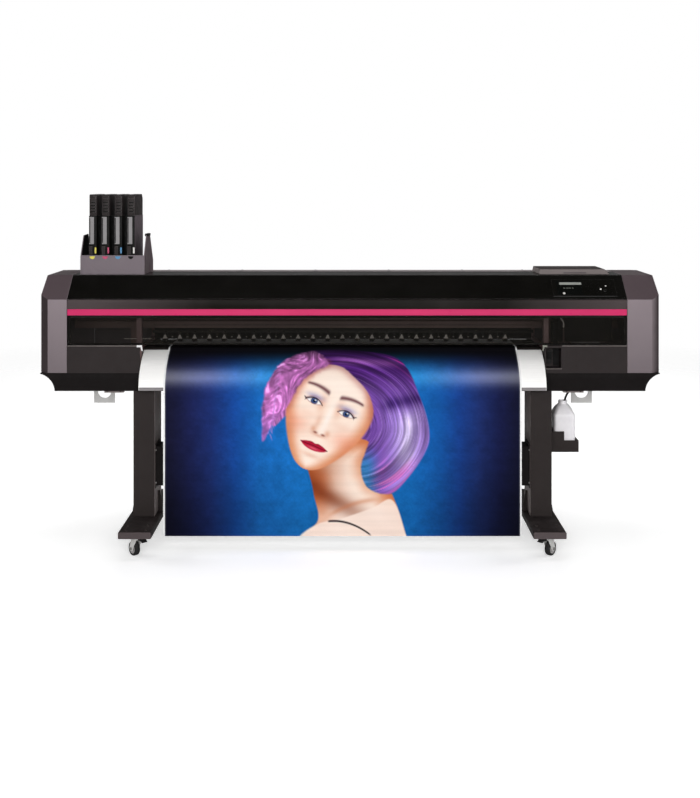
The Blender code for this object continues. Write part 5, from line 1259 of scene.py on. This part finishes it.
bm = bmesh.new()
pts = auto_path(hose_c)
add_tube(bm, pts, [0.0044 + (0.00022 if i % 2 else 0.0) for i in range(len(pts))], 16)
ob_hose = finish_piece("waste_hose", bm, M["rubber"], "machine", smooth=60)
ob_hose.parent = None
ob_hose.matrix_world = Matrix.Identity(4)
del ob_hose["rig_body"]
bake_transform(ob_hose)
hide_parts("waste_tube")


# ------------------------------------------------------------------ ink cartridges
CART_X0, CART_PITCH, CART_W = -1.1555, 0.0565, 0.034
for k, ink in enumerate(("yellow", "magenta", "cyan", "black")):
    xa = CART_X0 + k * CART_PITCH
    xb = xa + CART_W
    bm = bmesh.new()
    # body, a stepped grip section on top, a label plate, an ink-level strip and a colour tab
    add_prism(bm, [(-0.105, 1.163), (-0.105, 1.4120), (-0.101, 1.4140), (0.094, 1.4140), (0.095, 1.169), (0.089, 1.163)], xa, xb, "X", 0.0016, 2, 0)
    add_prism(bm, [(-0.1005, 1.4135), (-0.1005, 1.5035), (-0.0960, 1.508), (0.077, 1.508), (0.0945, 1.488), (0.0945, 1.4135)], xa + 0.0012, xb - 0.0012, "X", 0.0016, 2, 1)
    # finger grips across the front of the upper section
    for q in range(4):
        z = 1.428 + q * 0.0135
        add_box(bm, (xa + 0.006, -0.1030, z), (xb - 0.006, -0.0995, z + 0.0062), 0.0010, 2, 0)
    add_box(bm, (xa + 0.0045, -0.1040, 1.489), (xb - 0.0045, -0.0998, 1.5015), 0.0012, 2, 4)
    add_box(bm, (xa + 0.0010, -0.1056, 1.2880), (xa + 0.0225, -0.1045, 1.4085), 0.0005, 1, 2)
    add_box(bm, (xa + 0.0020, -0.1060, 1.2930), (xa + 0.0060, -0.1054, 1.4040), 0.0002, 1, 6)
    add_box(bm, (xa + 0.0006, -0.1058, 1.2420), (xa + 0.0150, -0.1044, 1.2790), 0.0006, 1, 1)
    add_box(bm, (xa + 0.0185, -0.1054, 1.2400), (xb - 0.0006, -0.1044, 1.2820), 0.0006, 1, 6)
    add_box(bm, (xa + 0.0258, -0.1064, 1.2470), (xb - 0.0012, -0.1052, 1.2735), 0.0004, 1, 3)
    # the black cartridge's right flank takes the lighter flank copy: painted light
    side_m = M["cart_side"] if ink == "black" else M["cart_dark"]
    tab = {"yellow": M["yellow"], "magenta": M["magenta"], "cyan": M["cyan"], "black": M["led"]}[ink]
    bm.faces.ensure_lookup_table()
    for f in bm.faces:
        if ink == "black" and f.material_index == 0 and abs(f.normal.x) > 0.9 and f.calc_center_median().x > xb - 0.002:
            f.material_index = 5
    finish_piece(f"ink_cartridge_{ink}_skin", bm, [M["cart_dark"], M["cart_top"], M["label"], tab, M["cart_top"], side_m, M["cart_dark"]], f"cartridge_{ink}", (f"ink_cartridge_{ink}",), smooth=36)

# half discs on the holder's front edge, one in each ink's colour, and the black rear rubbing strip
bm = bmesh.new()
for k in range(4):
    xm = CART_X0 + 0.0185 + k * CART_PITCH
    pts = [(xm + 0.0120 * math.cos(math.radians(a)), 1.2352 - 0.0125 * math.sin(math.radians(a))) for a in range(0, 181, 12)]
    add_prism(bm, pts, -0.1209, -0.1196, "Y", 0.0003, 1, k)
add_box(bm, (-0.9165, -0.0560, 1.3205), (-0.9030, 0.0140, 1.3320), 0.0014, 2, 3)
finish_piece("ink_markers", bm, [M["yellow"], M["magenta"], M["cyan"], M["cart_dark"]], "machine", smooth=36)
bm = bmesh.new()
add_box(bm, (-0.9110, -0.040, 1.3205), (-0.9068, 0.012, 1.3300), 0.0006, 1, 0)
# near-black blocks along the holder's rear wall: painted shade standing for slots
for q in range(7):
    add_box(bm, (-1.1830 + q * 0.040, 0.0985, 1.170), (-1.1650 + q * 0.040, 0.1056, 1.190), 0.0006, 1, 1)
finish_piece("ink_holder_trim", bm, [M["rubber"], M["vent"]], "machine", smooth=36)


# ------------------------------------------------------------------ control panel: display, keys and plain indicator bars
OUTF = Vector((0, -slope.y, slope.x))
bm = bmesh.new()
fascia_box(bm, 0.8990, 1.0080, 0.026, 0.108, 0.0023, 0.0026, 0.0001, 0)      # display glass
fascia_box(bm, 0.9130, 1.0090, 0.0845, 0.0985, 0.0026, 0.0032, 0.0002, 1)    # light header bar
for k, wd in enumerate((0.010, 0.013, 0.009, 0.008)):
    fascia_box(bm, 0.9275 + k * 0.0125, 0.9275 + k * 0.0125 + wd * 0.8, 0.0610, 0.0675, 0.0028, 0.0031, 0.0001, 2)
for xx, aa in ((1.030, 0.090), (1.052, 0.090), (1.030, 0.072), (1.052, 0.072), (1.041, 0.054), (1.081, 0.092), (1.070, 0.036), (1.136, 0.090), (1.136, 0.062), (1.136, 0.036)):
    add_lathe(bm, [(0, 0.0), (0.0044, 0.0), (0.0046, 0.0002), (0.0046, 0.0004), (0.0040, 0.0006), (0, 0.0006)], frame_of(on_fascia(xx, aa, 0.0023), OUTF), 20, 3)
for xx, aa, rr in ((1.1140, 0.0775, 0.0036), (1.0886, 0.0585, 0.0042)):
    add_lathe(bm, [(0, 0.0), (rr, 0.0), (rr, 0.0006), (rr * 0.7, 0.0010), (0, 0.0011)], frame_of(on_fascia(xx, aa, 0.0023), OUTF), 20, 4)
finish_piece("panel_display", bm, [M["disp"], M["disp_bar"], M["disp_dim"], M["key_flat"], M["led"]], "machine", smooth=30)
skin("power_key", M["grey_key"], 0.0003, 2, dissolve=False)
skin("enter_key", M["key_dark"], 0.0003, 2, dissolve=False)


# ------------------------------------------------------------------ pinch rollers: bar, sprung forks and rubber rollers
bm = bmesh.new()
PIN_Y, PIN_Z, DRV_Y, RC = 0.020, 0.886, 0.005, 0.8502
add_box(bm, (XC - GUIDE_HALF + 0.006, PIN_Y - 0.006, PIN_Z - 0.006), (XC + GUIDE_HALF - 0.006, PIN_Y + 0.006, PIN_Z + 0.006), 0.0008, 2, 0)
for k in range(24):
    x = -0.8355 + 0.0668 * k
    # fork: two cheeks that lean in to a neck on the bar
    for s_ in (-1, 1):
        pts = [(x + s_ * 0.0128, RC - 0.0030), (x + s_ * 0.0128, RC + 0.0040), (x + s_ * 0.0045, PIN_Z - 0.0005), (x + s_ * 0.0012, PIN_Z - 0.0005), (x + s_ * 0.0088, RC + 0.0065), (x + s_ * 0.0100, RC - 0.0030)]
        add_prism(bm, pts, DRV_Y - 0.0040, DRV_Y + 0.0036, "Y", 0.0, 1, 1)
    tri = [(x - 0.0100, RC + 0.0055), (x + 0.0100, RC + 0.0055), (x + 0.0022, RC + 0.0235), (x - 0.0022, RC + 0.0235)]
    add_prism(bm, tri, DRV_Y - 0.0052, DRV_Y - 0.0042, "Y", 0.0, 1, 2)
    add_box(bm, (x - 0.0046, DRV_Y - 0.0030, PIN_Z - 0.0075), (x + 0.0046, PIN_Y - 0.0050, PIN_Z + 0.0015), 0.0006, 1, 1)
    add_lathe(bm, [(0.0, -0.0090), (0.0072, -0.0090), (0.0080, -0.0082), (0.0080, 0.0082), (0.0072, 0.0090), (0.0, 0.0090)], frame_of((x, DRV_Y, RC), (1, 0, 0)), 20, 3)
    add_lathe(bm, [(0.0, -0.0140), (0.0020, -0.0140), (0.0020, 0.0140), (0.0, 0.0140)], frame_of((x, DRV_Y, RC), (1, 0, 0)), 10, 4)
    if k < 23:
        add_box(bm, (x + 0.0300, DRV_Y - 0.0030, RC + 0.0120), (x + 0.0372, DRV_Y - 0.0018, RC + 0.0145), 0.0, 1, 2)
        add_box(bm, (x + 0.0325, DRV_Y - 0.0022, RC + 0.0120), (x + 0.0345, PIN_Y - 0.0055, PIN_Z - 0.0050), 0.0, 1, 1)
finish_piece("pinch_rollers_skin", bm, [M["arm"], M["arm"], M["arm_light"], M["rubber"], M["steel_x"]], "pinch_unit", ("pinch_roller_unit",), smooth=36)

# sill strips over the lower front panels and an edge strip of the base, in a lighter colour as painted highlights; end
# tabs of the guide
bm = bmesh.new()
add_box(bm, (X_CAP_L + 0.001, -0.2403, 0.8548), (XC - GUIDE_HALF - 0.006, -0.2360, 0.8584), 0.0006, 1, 0)
add_box(bm, (0.9135, -0.2403, 0.8548), (X_CAP_R - 0.001, -0.2360, 0.8584), 0.0006, 1, 0)
add_box(bm, (0.8425, -0.2403, 0.7568), (0.9130, -0.2385, 0.7590), 0.0004, 1, 0)
finish_piece("panel_sill_strips", bm, [M["sill"]], "machine", smooth=36)
bm = bmesh.new()
add_box(bm, (-0.9185, -0.2425, 0.8515), (-0.8955, -0.2402, 0.8600), 0.0006, 2, 0)
add_prism(bm, [(-0.9030, 0.8518), (-0.8956, 0.8518), (-0.8920, 0.8350), (-0.8975, 0.8350)], -0.2425, -0.2402, "Y", 0.0005, 1, 0)
finish_piece("guide_tab_left", bm, [M["white_pl"]], "machine", smooth=36)
bm = bmesh.new()
add_box(bm, (0.8300, -0.2425, 0.8515), (0.8500, -0.2402, 0.8600), 0.0006, 2, 0)
add_prism(bm, [(0.8305, 0.8518), (0.8375, 0.8518), (0.8330, 0.8350), (0.8275, 0.8350)], -0.2425, -0.2402, "Y", 0.0005, 1, 0)
finish_piece("guide_tab_right", bm, [M["grey_tab"]], "machine", smooth=36)


# ------------------------------------------------------------------ skirt under the rail, brackets under the base
bm = bmesh.new()
add_box(bm, (XC - GUIDE_HALF + 0.004, 0.0820, 0.8450), (XC + GUIDE_HALF - 0.004, 0.0834, 0.8996), 0.0, 1, 0)
add_prism(bm, [(0.0834, 0.8450), (0.0820, 0.8450), (0.0760, 0.8436), (0.0760, 0.8448)], XC - GUIDE_HALF + 0.004, XC + GUIDE_HALF - 0.004, "X", 0.0, 1, 0)
finish_piece("rail_skirt", bm, [M["vent"]], "machine", smooth=36)
bm = bmesh.new()
for s_ in (-1, 1):
    add_box(bm, (min(s_ * 1.322, s_ * 1.325), -0.205, 0.7385), (max(s_ * 1.322, s_ * 1.325), 0.285, 0.7600), 0.0, 1, 0)
add_box(bm, (-1.318, 0.2885, 0.7385), (1.318, 0.2910, 0.7600), 0.0, 1, 0)
finish_piece("light_seal", bm, [M["vent"]], "machine", smooth=36)
# the brackets take the lighter copy of the stand paint (painted light)
bm = bmesh.new()
for xa, xb in ((-1.066, -0.982), (0.926, 1.014)):
    add_box(bm, (xa, -0.2050, 0.6490), (xb, -0.1780, 0.6597), 0.0012, 2, 0)
    for xx in (xa + 0.014, xb - 0.014):
        add_lathe(bm, [(0, 0), (0.0030, 0), (0.0030, 0.0016), (0.0024, 0.0021), (0, 0.0022)], frame_of((xx, -0.2050, 0.6545), (0, -1, 0)), 6, 1)
finish_piece("under_base_brackets", bm, [M["leg_in"], M["leg"]], "machine", smooth=36)


# ------------------------------------------------------------------ rear, side and top detail, laid on the solids by ray
from mathutils.bvhtree import BVHTree
BVH = {}


def hit(node, at, way):
    if node not in BVH:
        b = bmesh.new()
        b.from_mesh(NODES[node].data)
        b.transform(NODES[node].matrix_world)
        BVH[node] = BVHTree.FromBMesh(b)
        b.free()
    loc, nor, _, _ = BVH[node].ray_cast(Vector(at), Vector(way))
    return loc, nor


def face_frame(loc, nor):
    """x out of the surface, z as near up as it goes."""
    z = Vector((0, 0, 1)) if abs(nor.z) < 0.9 else Vector((0, 1, 0))
    y = z.cross(nor).normalized()
    z = nor.cross(y).normalized()
    m = Matrix.Identity(4)
    for k, v in enumerate((nor, y, z)):
        m.col[k][:3] = v
    m.translation = loc
    return m


def louvres(bm, loc, nor, wide, tall, n, mi_frame, mi_dark):
    """A framed bank of slats on a face, over a near-black plate: painted shade in the opening."""
    m = face_frame(loc, nor)
    w, t = wide / 2, tall / 2
    add_box(bm, (-0.0006, -w, -t), (0.0004, w, t), 0.0, 1, mi_dark, m)
    for lo, hi in (((-0.0005, -w - 0.004, t), (0.0022, w + 0.004, t + 0.004)), ((-0.0005, -w - 0.004, -t - 0.004), (0.0022, w + 0.004, -t)), ((-0.0005, -w - 0.004, -t), (0.0022, -w, t)), ((-0.0005, w, -t), (0.0022, w + 0.004, t))):
        add_box(bm, lo, hi, 0.0005, 1, mi_frame, m)
    for k in range(n):
        z = -t + tall * (k + 0.5) / n
        h = tall / n * 0.46
        mm = m @ Matrix.Translation((0.0007, 0, z)) @ Matrix.Rotation(math.radians(-28), 4, "Y")
        add_box(bm, (-0.0003, -w, -h / 2), (0.0007, w, h / 2), 0.0, 1, mi_frame, mm)


def cap_screw(bm, loc, nor, r=0.0042, mi=0, mi2=1):
    m = frame_of(loc, nor)
    add_lathe(bm, [(0, -0.0002), (r, -0.0002), (r, 0.0010), (r * 0.82, 0.0019), (r * 0.45, 0.0023), (r * 0.42, 0.0012), (0, 0.0012)], m, 20, mi)


REAR = (0, -1, 0)
bm = bmesh.new()
for x, z, w, t, n in ((-1.075, 0.930, 0.170, 0.080, 7), (-1.075, 0.815, 0.170, 0.080, 7), (1.045, 0.955, 0.150, 0.060, 5)):
    p, nr = hit("rear_cover", (x, 1, z), REAR)
    louvres(bm, p, nr, w, t, n, 0, 1)
# the near-black disc under each guard is painted shade standing for the hole
for x, z, r in ((0.975, 0.845, 0.048), (1.090, 0.845, 0.048)):                # fan guards: rings on spokes over a dark hole
    p, nr = hit("rear_cover", (x, 1, z), REAR)
    m = frame_of(p, nr)
    add_lathe(bm, [(0, -0.0004), (r, -0.0004), (r, 0.0004), (0, 0.0004)], m, 48, 1)
    add_lathe(bm, [(0, 0.0004), (0.015, 0.0004), (0.014, 0.0016), (0, 0.0018)], m, 32, 3)
    for q in (0.2, 0.4, 0.6, 0.8, 1.0):
        add_lathe(bm, [(r * q - 0.0011, 0.0016), (r * q + 0.0011, 0.0016), (r * q + 0.0011, 0.0036), (r * q - 0.0011, 0.0036)], m, 48, 2, closed=True)
    for a_ in (45, 135):
        add_box(bm, (-r * 1.08, -0.0014, 0.0014), (r * 1.08, 0.0014, 0.0030), 0.0004, 1, 2, m @ Matrix.Rotation(math.radians(a_), 4, "Z"))
    for a_ in (45, 135, 225, 315):
        q = m @ Vector((r * 1.12 * math.cos(math.radians(a_)), r * 1.12 * math.sin(math.radians(a_)), 0))
        cap_screw(bm, q, nr, 0.0040, 2)
p, nr = hit("rear_cover", (1.150, 1, 0.772), REAR)                            # power inlet with its switch
m = face_frame(p, nr)
add_box(bm, (-0.0004, -0.026, -0.018), (0.0030, 0.026, 0.018), 0.0012, 2, 3, m)
add_box(bm, (0.0026, -0.022, -0.012), (0.0034, 0.002, 0.012), 0.0, 1, 1, m)
for yy, zz in ((-0.017, 0.0), (-0.010, 0.005), (-0.003, 0.0)):
    add_box(bm, (0.0030, yy - 0.0011, zz - 0.0030), (0.0052, yy + 0.0011, zz + 0.0030), 0.0, 1, 2, m)
add_box(bm, (0.0028, 0.007, -0.011), (0.0056, 0.021, 0.011), 0.0014, 2, 1, m)
for k, (x, w) in enumerate(((1.000, 0.014), (1.030, 0.016), (1.062, 0.016))):  # plain sockets in a row
    p, nr = hit("rear_cover", (x, 1, 0.768), REAR)
    m = face_frame(p, nr)
    add_box(bm, (-0.0004, -w / 2, -0.0065), (0.0022, w / 2, 0.0065), 0.0006, 1, 2, m)
    add_box(bm, (0.0016, -w / 2 + 0.0018, -0.0046), (0.0025, w / 2 - 0.0018, 0.0046), 0.0, 1, 1, m)
for x in [X_CAP_L + 0.030 + k * (X_CAP_R - X_CAP_L - 0.060) / 8 for k in range(9)]:
    for z in (1.0300, 0.9250 if abs(x - XC) < 0.86 else 0.7520):
        p, nr = hit("rear_cover", (x, 1, z), REAR)
        if p is not None and p.y > 0.28:
            cap_screw(bm, p, nr, 0.0042, 2)
for k in range(5):                                                            # pressed stiffening ribs over the slot
    xa = XC - 0.80 + k * 0.33
    p, nr = hit("rear_cover", (xa + 0.13, 1, 0.985), REAR)
    m = face_frame(p, nr)
    add_box(bm, (-0.0010, -0.120, -0.0050), (0.0024, 0.120, 0.0050), 0.0022, 3, 0, m)
finish_piece("rear_detail", bm, [M["cover"], M["vent"], M["brass"], M["inner"]], "machine", smooth=36)

for s_, side in ((-1, "left"), (1, "right")):
    bm = bmesh.new()
    node = f"side_cover_{side}"
    for y, z, w, t, n in ((0.190, 0.800, 0.120, 0.056, 5), (0.190, 0.955, 0.120, 0.056, 5)):
        p, nr = hit(node, (s_ * 2, y, z), (-s_, 0, 0))
        louvres(bm, p, nr, w, t, n, 0, 1)
    for y, z in ((-0.170, 0.775), (-0.170, 1.010), (0.060, 0.775), (0.060, 1.030), (0.265, 0.875)):
        p, nr = hit(node, (s_ * 2, y, z), (-s_, 0, 0))
        cap_screw(bm, p, nr, 0.0052, 2)
    # grip recess: a near-black plate, painted shade standing for the hollow, with a lip
    p, nr = hit(node, (s_ * 2, 0.010, 0.895), (-s_, 0, 0))
    m = face_frame(p, nr)
    add_box(bm, (-0.0006, -0.062, -0.013), (0.0003, 0.062, 0.013), 0.0, 1, 1, m)
    add_box(bm, (-0.0006, -0.066, 0.012), (0.0040, 0.066, 0.019), 0.0020, 3, 0, m)
    for yy in (-0.066, 0.062):
        add_box(bm, (-0.0006, yy, -0.014), (0.0020, yy + 0.004, 0.014), 0.0008, 2, 0, m)
    add_box(bm, (-0.0006, -0.066, -0.017), (0.0018, 0.066, -0.013), 0.0008, 2, 0, m)
    finish_piece(f"side_detail_{side}", bm, [M["cover"], M["vent"], M["cover_brow"]], "machine", smooth=36)

bm = bmesh.new()
for x in (-0.84, -0.50, -0.16, 0.18, 0.52, 0.80):
    for y in (0.075, 0.148):
        p, nr = hit("top_cover", (x, y, 2), (0, 0, -1))
        if p is not None:
            cap_screw(bm, p, nr, 0.0040, 0)
p, nr = hit("top_cover", (XC, 0.0550, 2), (0, 0, -1))
add_box(bm, (-0.9000, 0.0536, p.z - 0.0004), (0.8330, 0.0552, p.z + 0.0007), 0.0003, 1, 1)
for x in (0.880, 1.108):                                                      # hinge barrels of the raised lid
    add_lathe(bm, [(0, -0.022), (0.0040, -0.022), (0.0044, -0.0210), (0.0044, 0.0210), (0.0040, 0.022), (0, 0.022)], frame_of((x, 0.1042, 1.1590), (1, 0, 0)), 20, 2)
add_box(bm, (0.945, -0.1062, 1.1590), (1.045, -0.1036, 1.1640), 0.0008, 2, 2)  # finger lip of the lid
finish_piece("top_detail", bm, [M["brass"], M["vent"], M["cover_top"]], "machine", smooth=36)

# inside the window at the right: hose trace and cable clips by the frame
bm = bmesh.new()
add_tube(bm, [Vector(v) for v in bezier((0.905, -0.150, 0.985), (0.935, -0.150, 0.960), (0.940, -0.150, 0.945), (0.936, -0.150, 0.925), 10)], 0.0032, 10)
for k in range(7):
    add_box(bm, (0.933, -0.1535, 0.915 - k * 0.0085), (0.940, -0.1480, 0.919 - k * 0.0085), 0.0006, 1, 1)
finish_piece("inner_hose", bm, [M["arm_light"], M["rail"]], "machine", smooth=40)
bm = bmesh.new()
add_box(bm, (-0.985, -0.1815, 0.8790), (-0.865, -0.1800, 0.8812), 0.0003, 1, 0)
for k in range(3):
    add_box(bm, (XC - 0.862, -0.0010 + 0.0290, 0.9130 + 0.0240 * k), (XC + 0.862, 0.0296, 0.9148 + 0.0240 * k), 0.0, 1, 1)
finish_piece("inner_lines", bm, [M["arm_light"], M["arm"]], "machine", smooth=40)

# pocket ribs of the right panel, over a near-black block: painted shade in the pocket
bm = bmesh.new()
for k in range(6):
    add_box(bm, (0.8485 + k * 0.0050, -0.1924, 0.7960), (0.8505 + k * 0.0050, -0.1902, 0.8460), 0.0003, 1, 0)
add_box(bm, (0.8830, -0.1925, 0.7640), (0.9085, -0.1895, 0.8465), 0.0, 1, 1)
finish_piece("pocket_ribs", bm, [M["arm"], M["vent"]], "machine", smooth=36)


# ------------------------------------------------------------------ world, floor, light, camera
w = bpy.data.worlds.new("studio")
SCN.world = w
w.use_nodes = True
nt = w.node_tree
nt.nodes.clear()
out = nt.nodes.new("ShaderNodeOutputWorld")
mixs = nt.nodes.new("ShaderNodeMixShader")
lp = nt.nodes.new("ShaderNodeLightPath")
b_cam = nt.nodes.new("ShaderNodeBackground")
b_env = nt.nodes.new("ShaderNodeBackground")
b_cam.inputs[0].default_value = (1, 1, 1, 1)
b_cam.inputs[1].default_value = 1.0
tc = nt.nodes.new("ShaderNodeTexCoord")
sx = nt.nodes.new("ShaderNodeSeparateXYZ")
mr = nt.nodes.new("ShaderNodeMapRange")
nt.links.new(tc.outputs["Generated"], sx.inputs[0])
nt.links.new(sx.outputs["Z"], mr.inputs[0])
mr.inputs[1].default_value, mr.inputs[2].default_value = 0.0, 0.9
mr.inputs[3].default_value, mr.inputs[4].default_value = 0.16, 0.02
nt.links.new(mr.outputs[0], b_env.inputs[1])
b_env.inputs[0].default_value = (1, 1, 1, 1)
nt.links.new(lp.outputs["Is Camera Ray"], mixs.inputs[0])
nt.links.new(b_env.outputs[0], mixs.inputs[1])
nt.links.new(b_cam.outputs[0], mixs.inputs[2])
nt.links.new(mixs.outputs[0], out.inputs[0])


def area(name, at, look, size, power, glossy=True):
    ld = bpy.data.lights.new(name, "AREA")
    ld.shape = "RECTANGLE"
    ld.size, ld.size_y = size
    ld.energy = power
    ob = bpy.data.objects.new(name, ld)
    LINK(ob)
    ob.location = at
    ob.rotation_euler = (Vector(look) - Vector(at)).to_track_quat("-Z", "Y").to_euler()
    ob.visible_glossy = glossy
    return ob


area("key_front", (0.0, -5.6, 2.1), (0, 0, 0.85), (5.0, 2.2), 262, glossy=True)
area("fill_top", (0.0, 0.4, 4.6), (0, 0, 1.0), (4.0, 3.0), 62, glossy=False)
area("side_left", (-5.0, 0.6, 2.4), (0, 0, 0.8), (2.4, 2.0), 70, glossy=False)
area("side_right", (5.0, 0.6, 2.4), (0, 0, 0.8), (2.4, 2.0), 70, glossy=False)
area("rear_fill", (0.0, 5.0, 2.9), (0, 0, 0.8), (4.4, 2.2), 150, glossy=False)

bm = bmesh.new()
N = 96
ringsf = [[bm.verts.new((r * math.cos(2 * math.pi * k / N), r * math.sin(2 * math.pi * k / N), 0)) for k in range(N)] for r in (0.8, 2, 4, 7)]
bm.faces.new(ringsf[0])
for a, b in zip(ringsf, ringsf[1:]):
    for k in range(N):
        m = (k + 1) % N
        bm.faces.new((a[k], a[m], b[m], b[k]))
bmesh.ops.recalc_face_normals(bm, faces=bm.faces)
me = bpy.data.meshes.new("floor")
bm.to_mesh(me)
bm.free()
floor = bpy.data.objects.new("floor", me)
LINK(floor)
if floor.data.polygons[0].normal.z < 0:
    floor.data.flip_normals()
t = Tree("floor_pale")
t.put(t.p.inputs["Base Color"], t.mix(t.ramp(t.noise(1.5, 4), 0.3, 0.7), (0.86, 0.86, 0.86), (0.90, 0.90, 0.90)))
t.put(t.p.inputs["Roughness"], t.ramp(t.noise(7.0, 4), 0.3, 0.7, 0.60, 0.75))
t.p.inputs["Specular IOR Level"].default_value = 0.2
o = t.xyz()
rad = t.math("SQRT", t.math("ADD", t.math("MULTIPLY", o["X"], o["X"]), t.math("MULTIPLY", o["Y"], o["Y"])))
t.put(t.p.inputs["Alpha"], t.ramp(rad, 1.4, 6.5, 1.0, 0.0))
t.link(t.bump(t.noise(220, 2), 0.0001), t.p.inputs["Normal"])
cr = t.n("ShaderNodeLightPath").outputs["Is Camera Ray"]
t.p.inputs["Emission Color"].default_value = (1, 1, 1, 1)
t.put(t.p.inputs["Emission Strength"], t.math("MULTIPLY", cr, 0.42))
me.materials.append(t.m)

cd = bpy.data.cameras.new("camera")
cam = bpy.data.objects.new("camera", cd)
LINK(cam)
cam.location = (0.0, -5.17, 1.563)
cam.rotation_euler = (math.pi / 2, 0, 0)
cd.sensor_width = 36
cd.lens = 36 * 1144.5 / 798
SHIFT = -217 / 798
cd.shift_y = SHIFT
SCN.camera = cam
# the lens is shifted down only at the photograph's standpoint; any other view is centred
fc = cd.driver_add("shift_y")
for md in list(fc.modifiers):
    fc.modifiers.remove(md)
fc.driver.type = "SUM"
for k in range(10):                       # ten times the camera's Y, so the keys can stand close together
    va = fc.driver.variables.new()
    va.name = f"place{k}"
    va.type = "TRANSFORMS"
    va.targets[0].id = cam
    va.targets[0].transform_type = "LOC_Y"
    va.targets[0].transform_space = "WORLD_SPACE"
while len(fc.keyframe_points):
    fc.keyframe_points.remove(fc.keyframe_points[0])
for a, b in ((-51.95, 0.0), (-51.78, SHIFT), (-51.62, SHIFT), (-51.45, 0.0)):
    fc.keyframe_points.insert(a, b)
for kp in fc.keyframe_points:
    kp.interpolation = "LINEAR"
fc.extrapolation = "CONSTANT"

SCN.view_settings.view_transform = "Standard"
SCN.view_settings.look = "None"
SCN.view_settings.exposure = 0.0
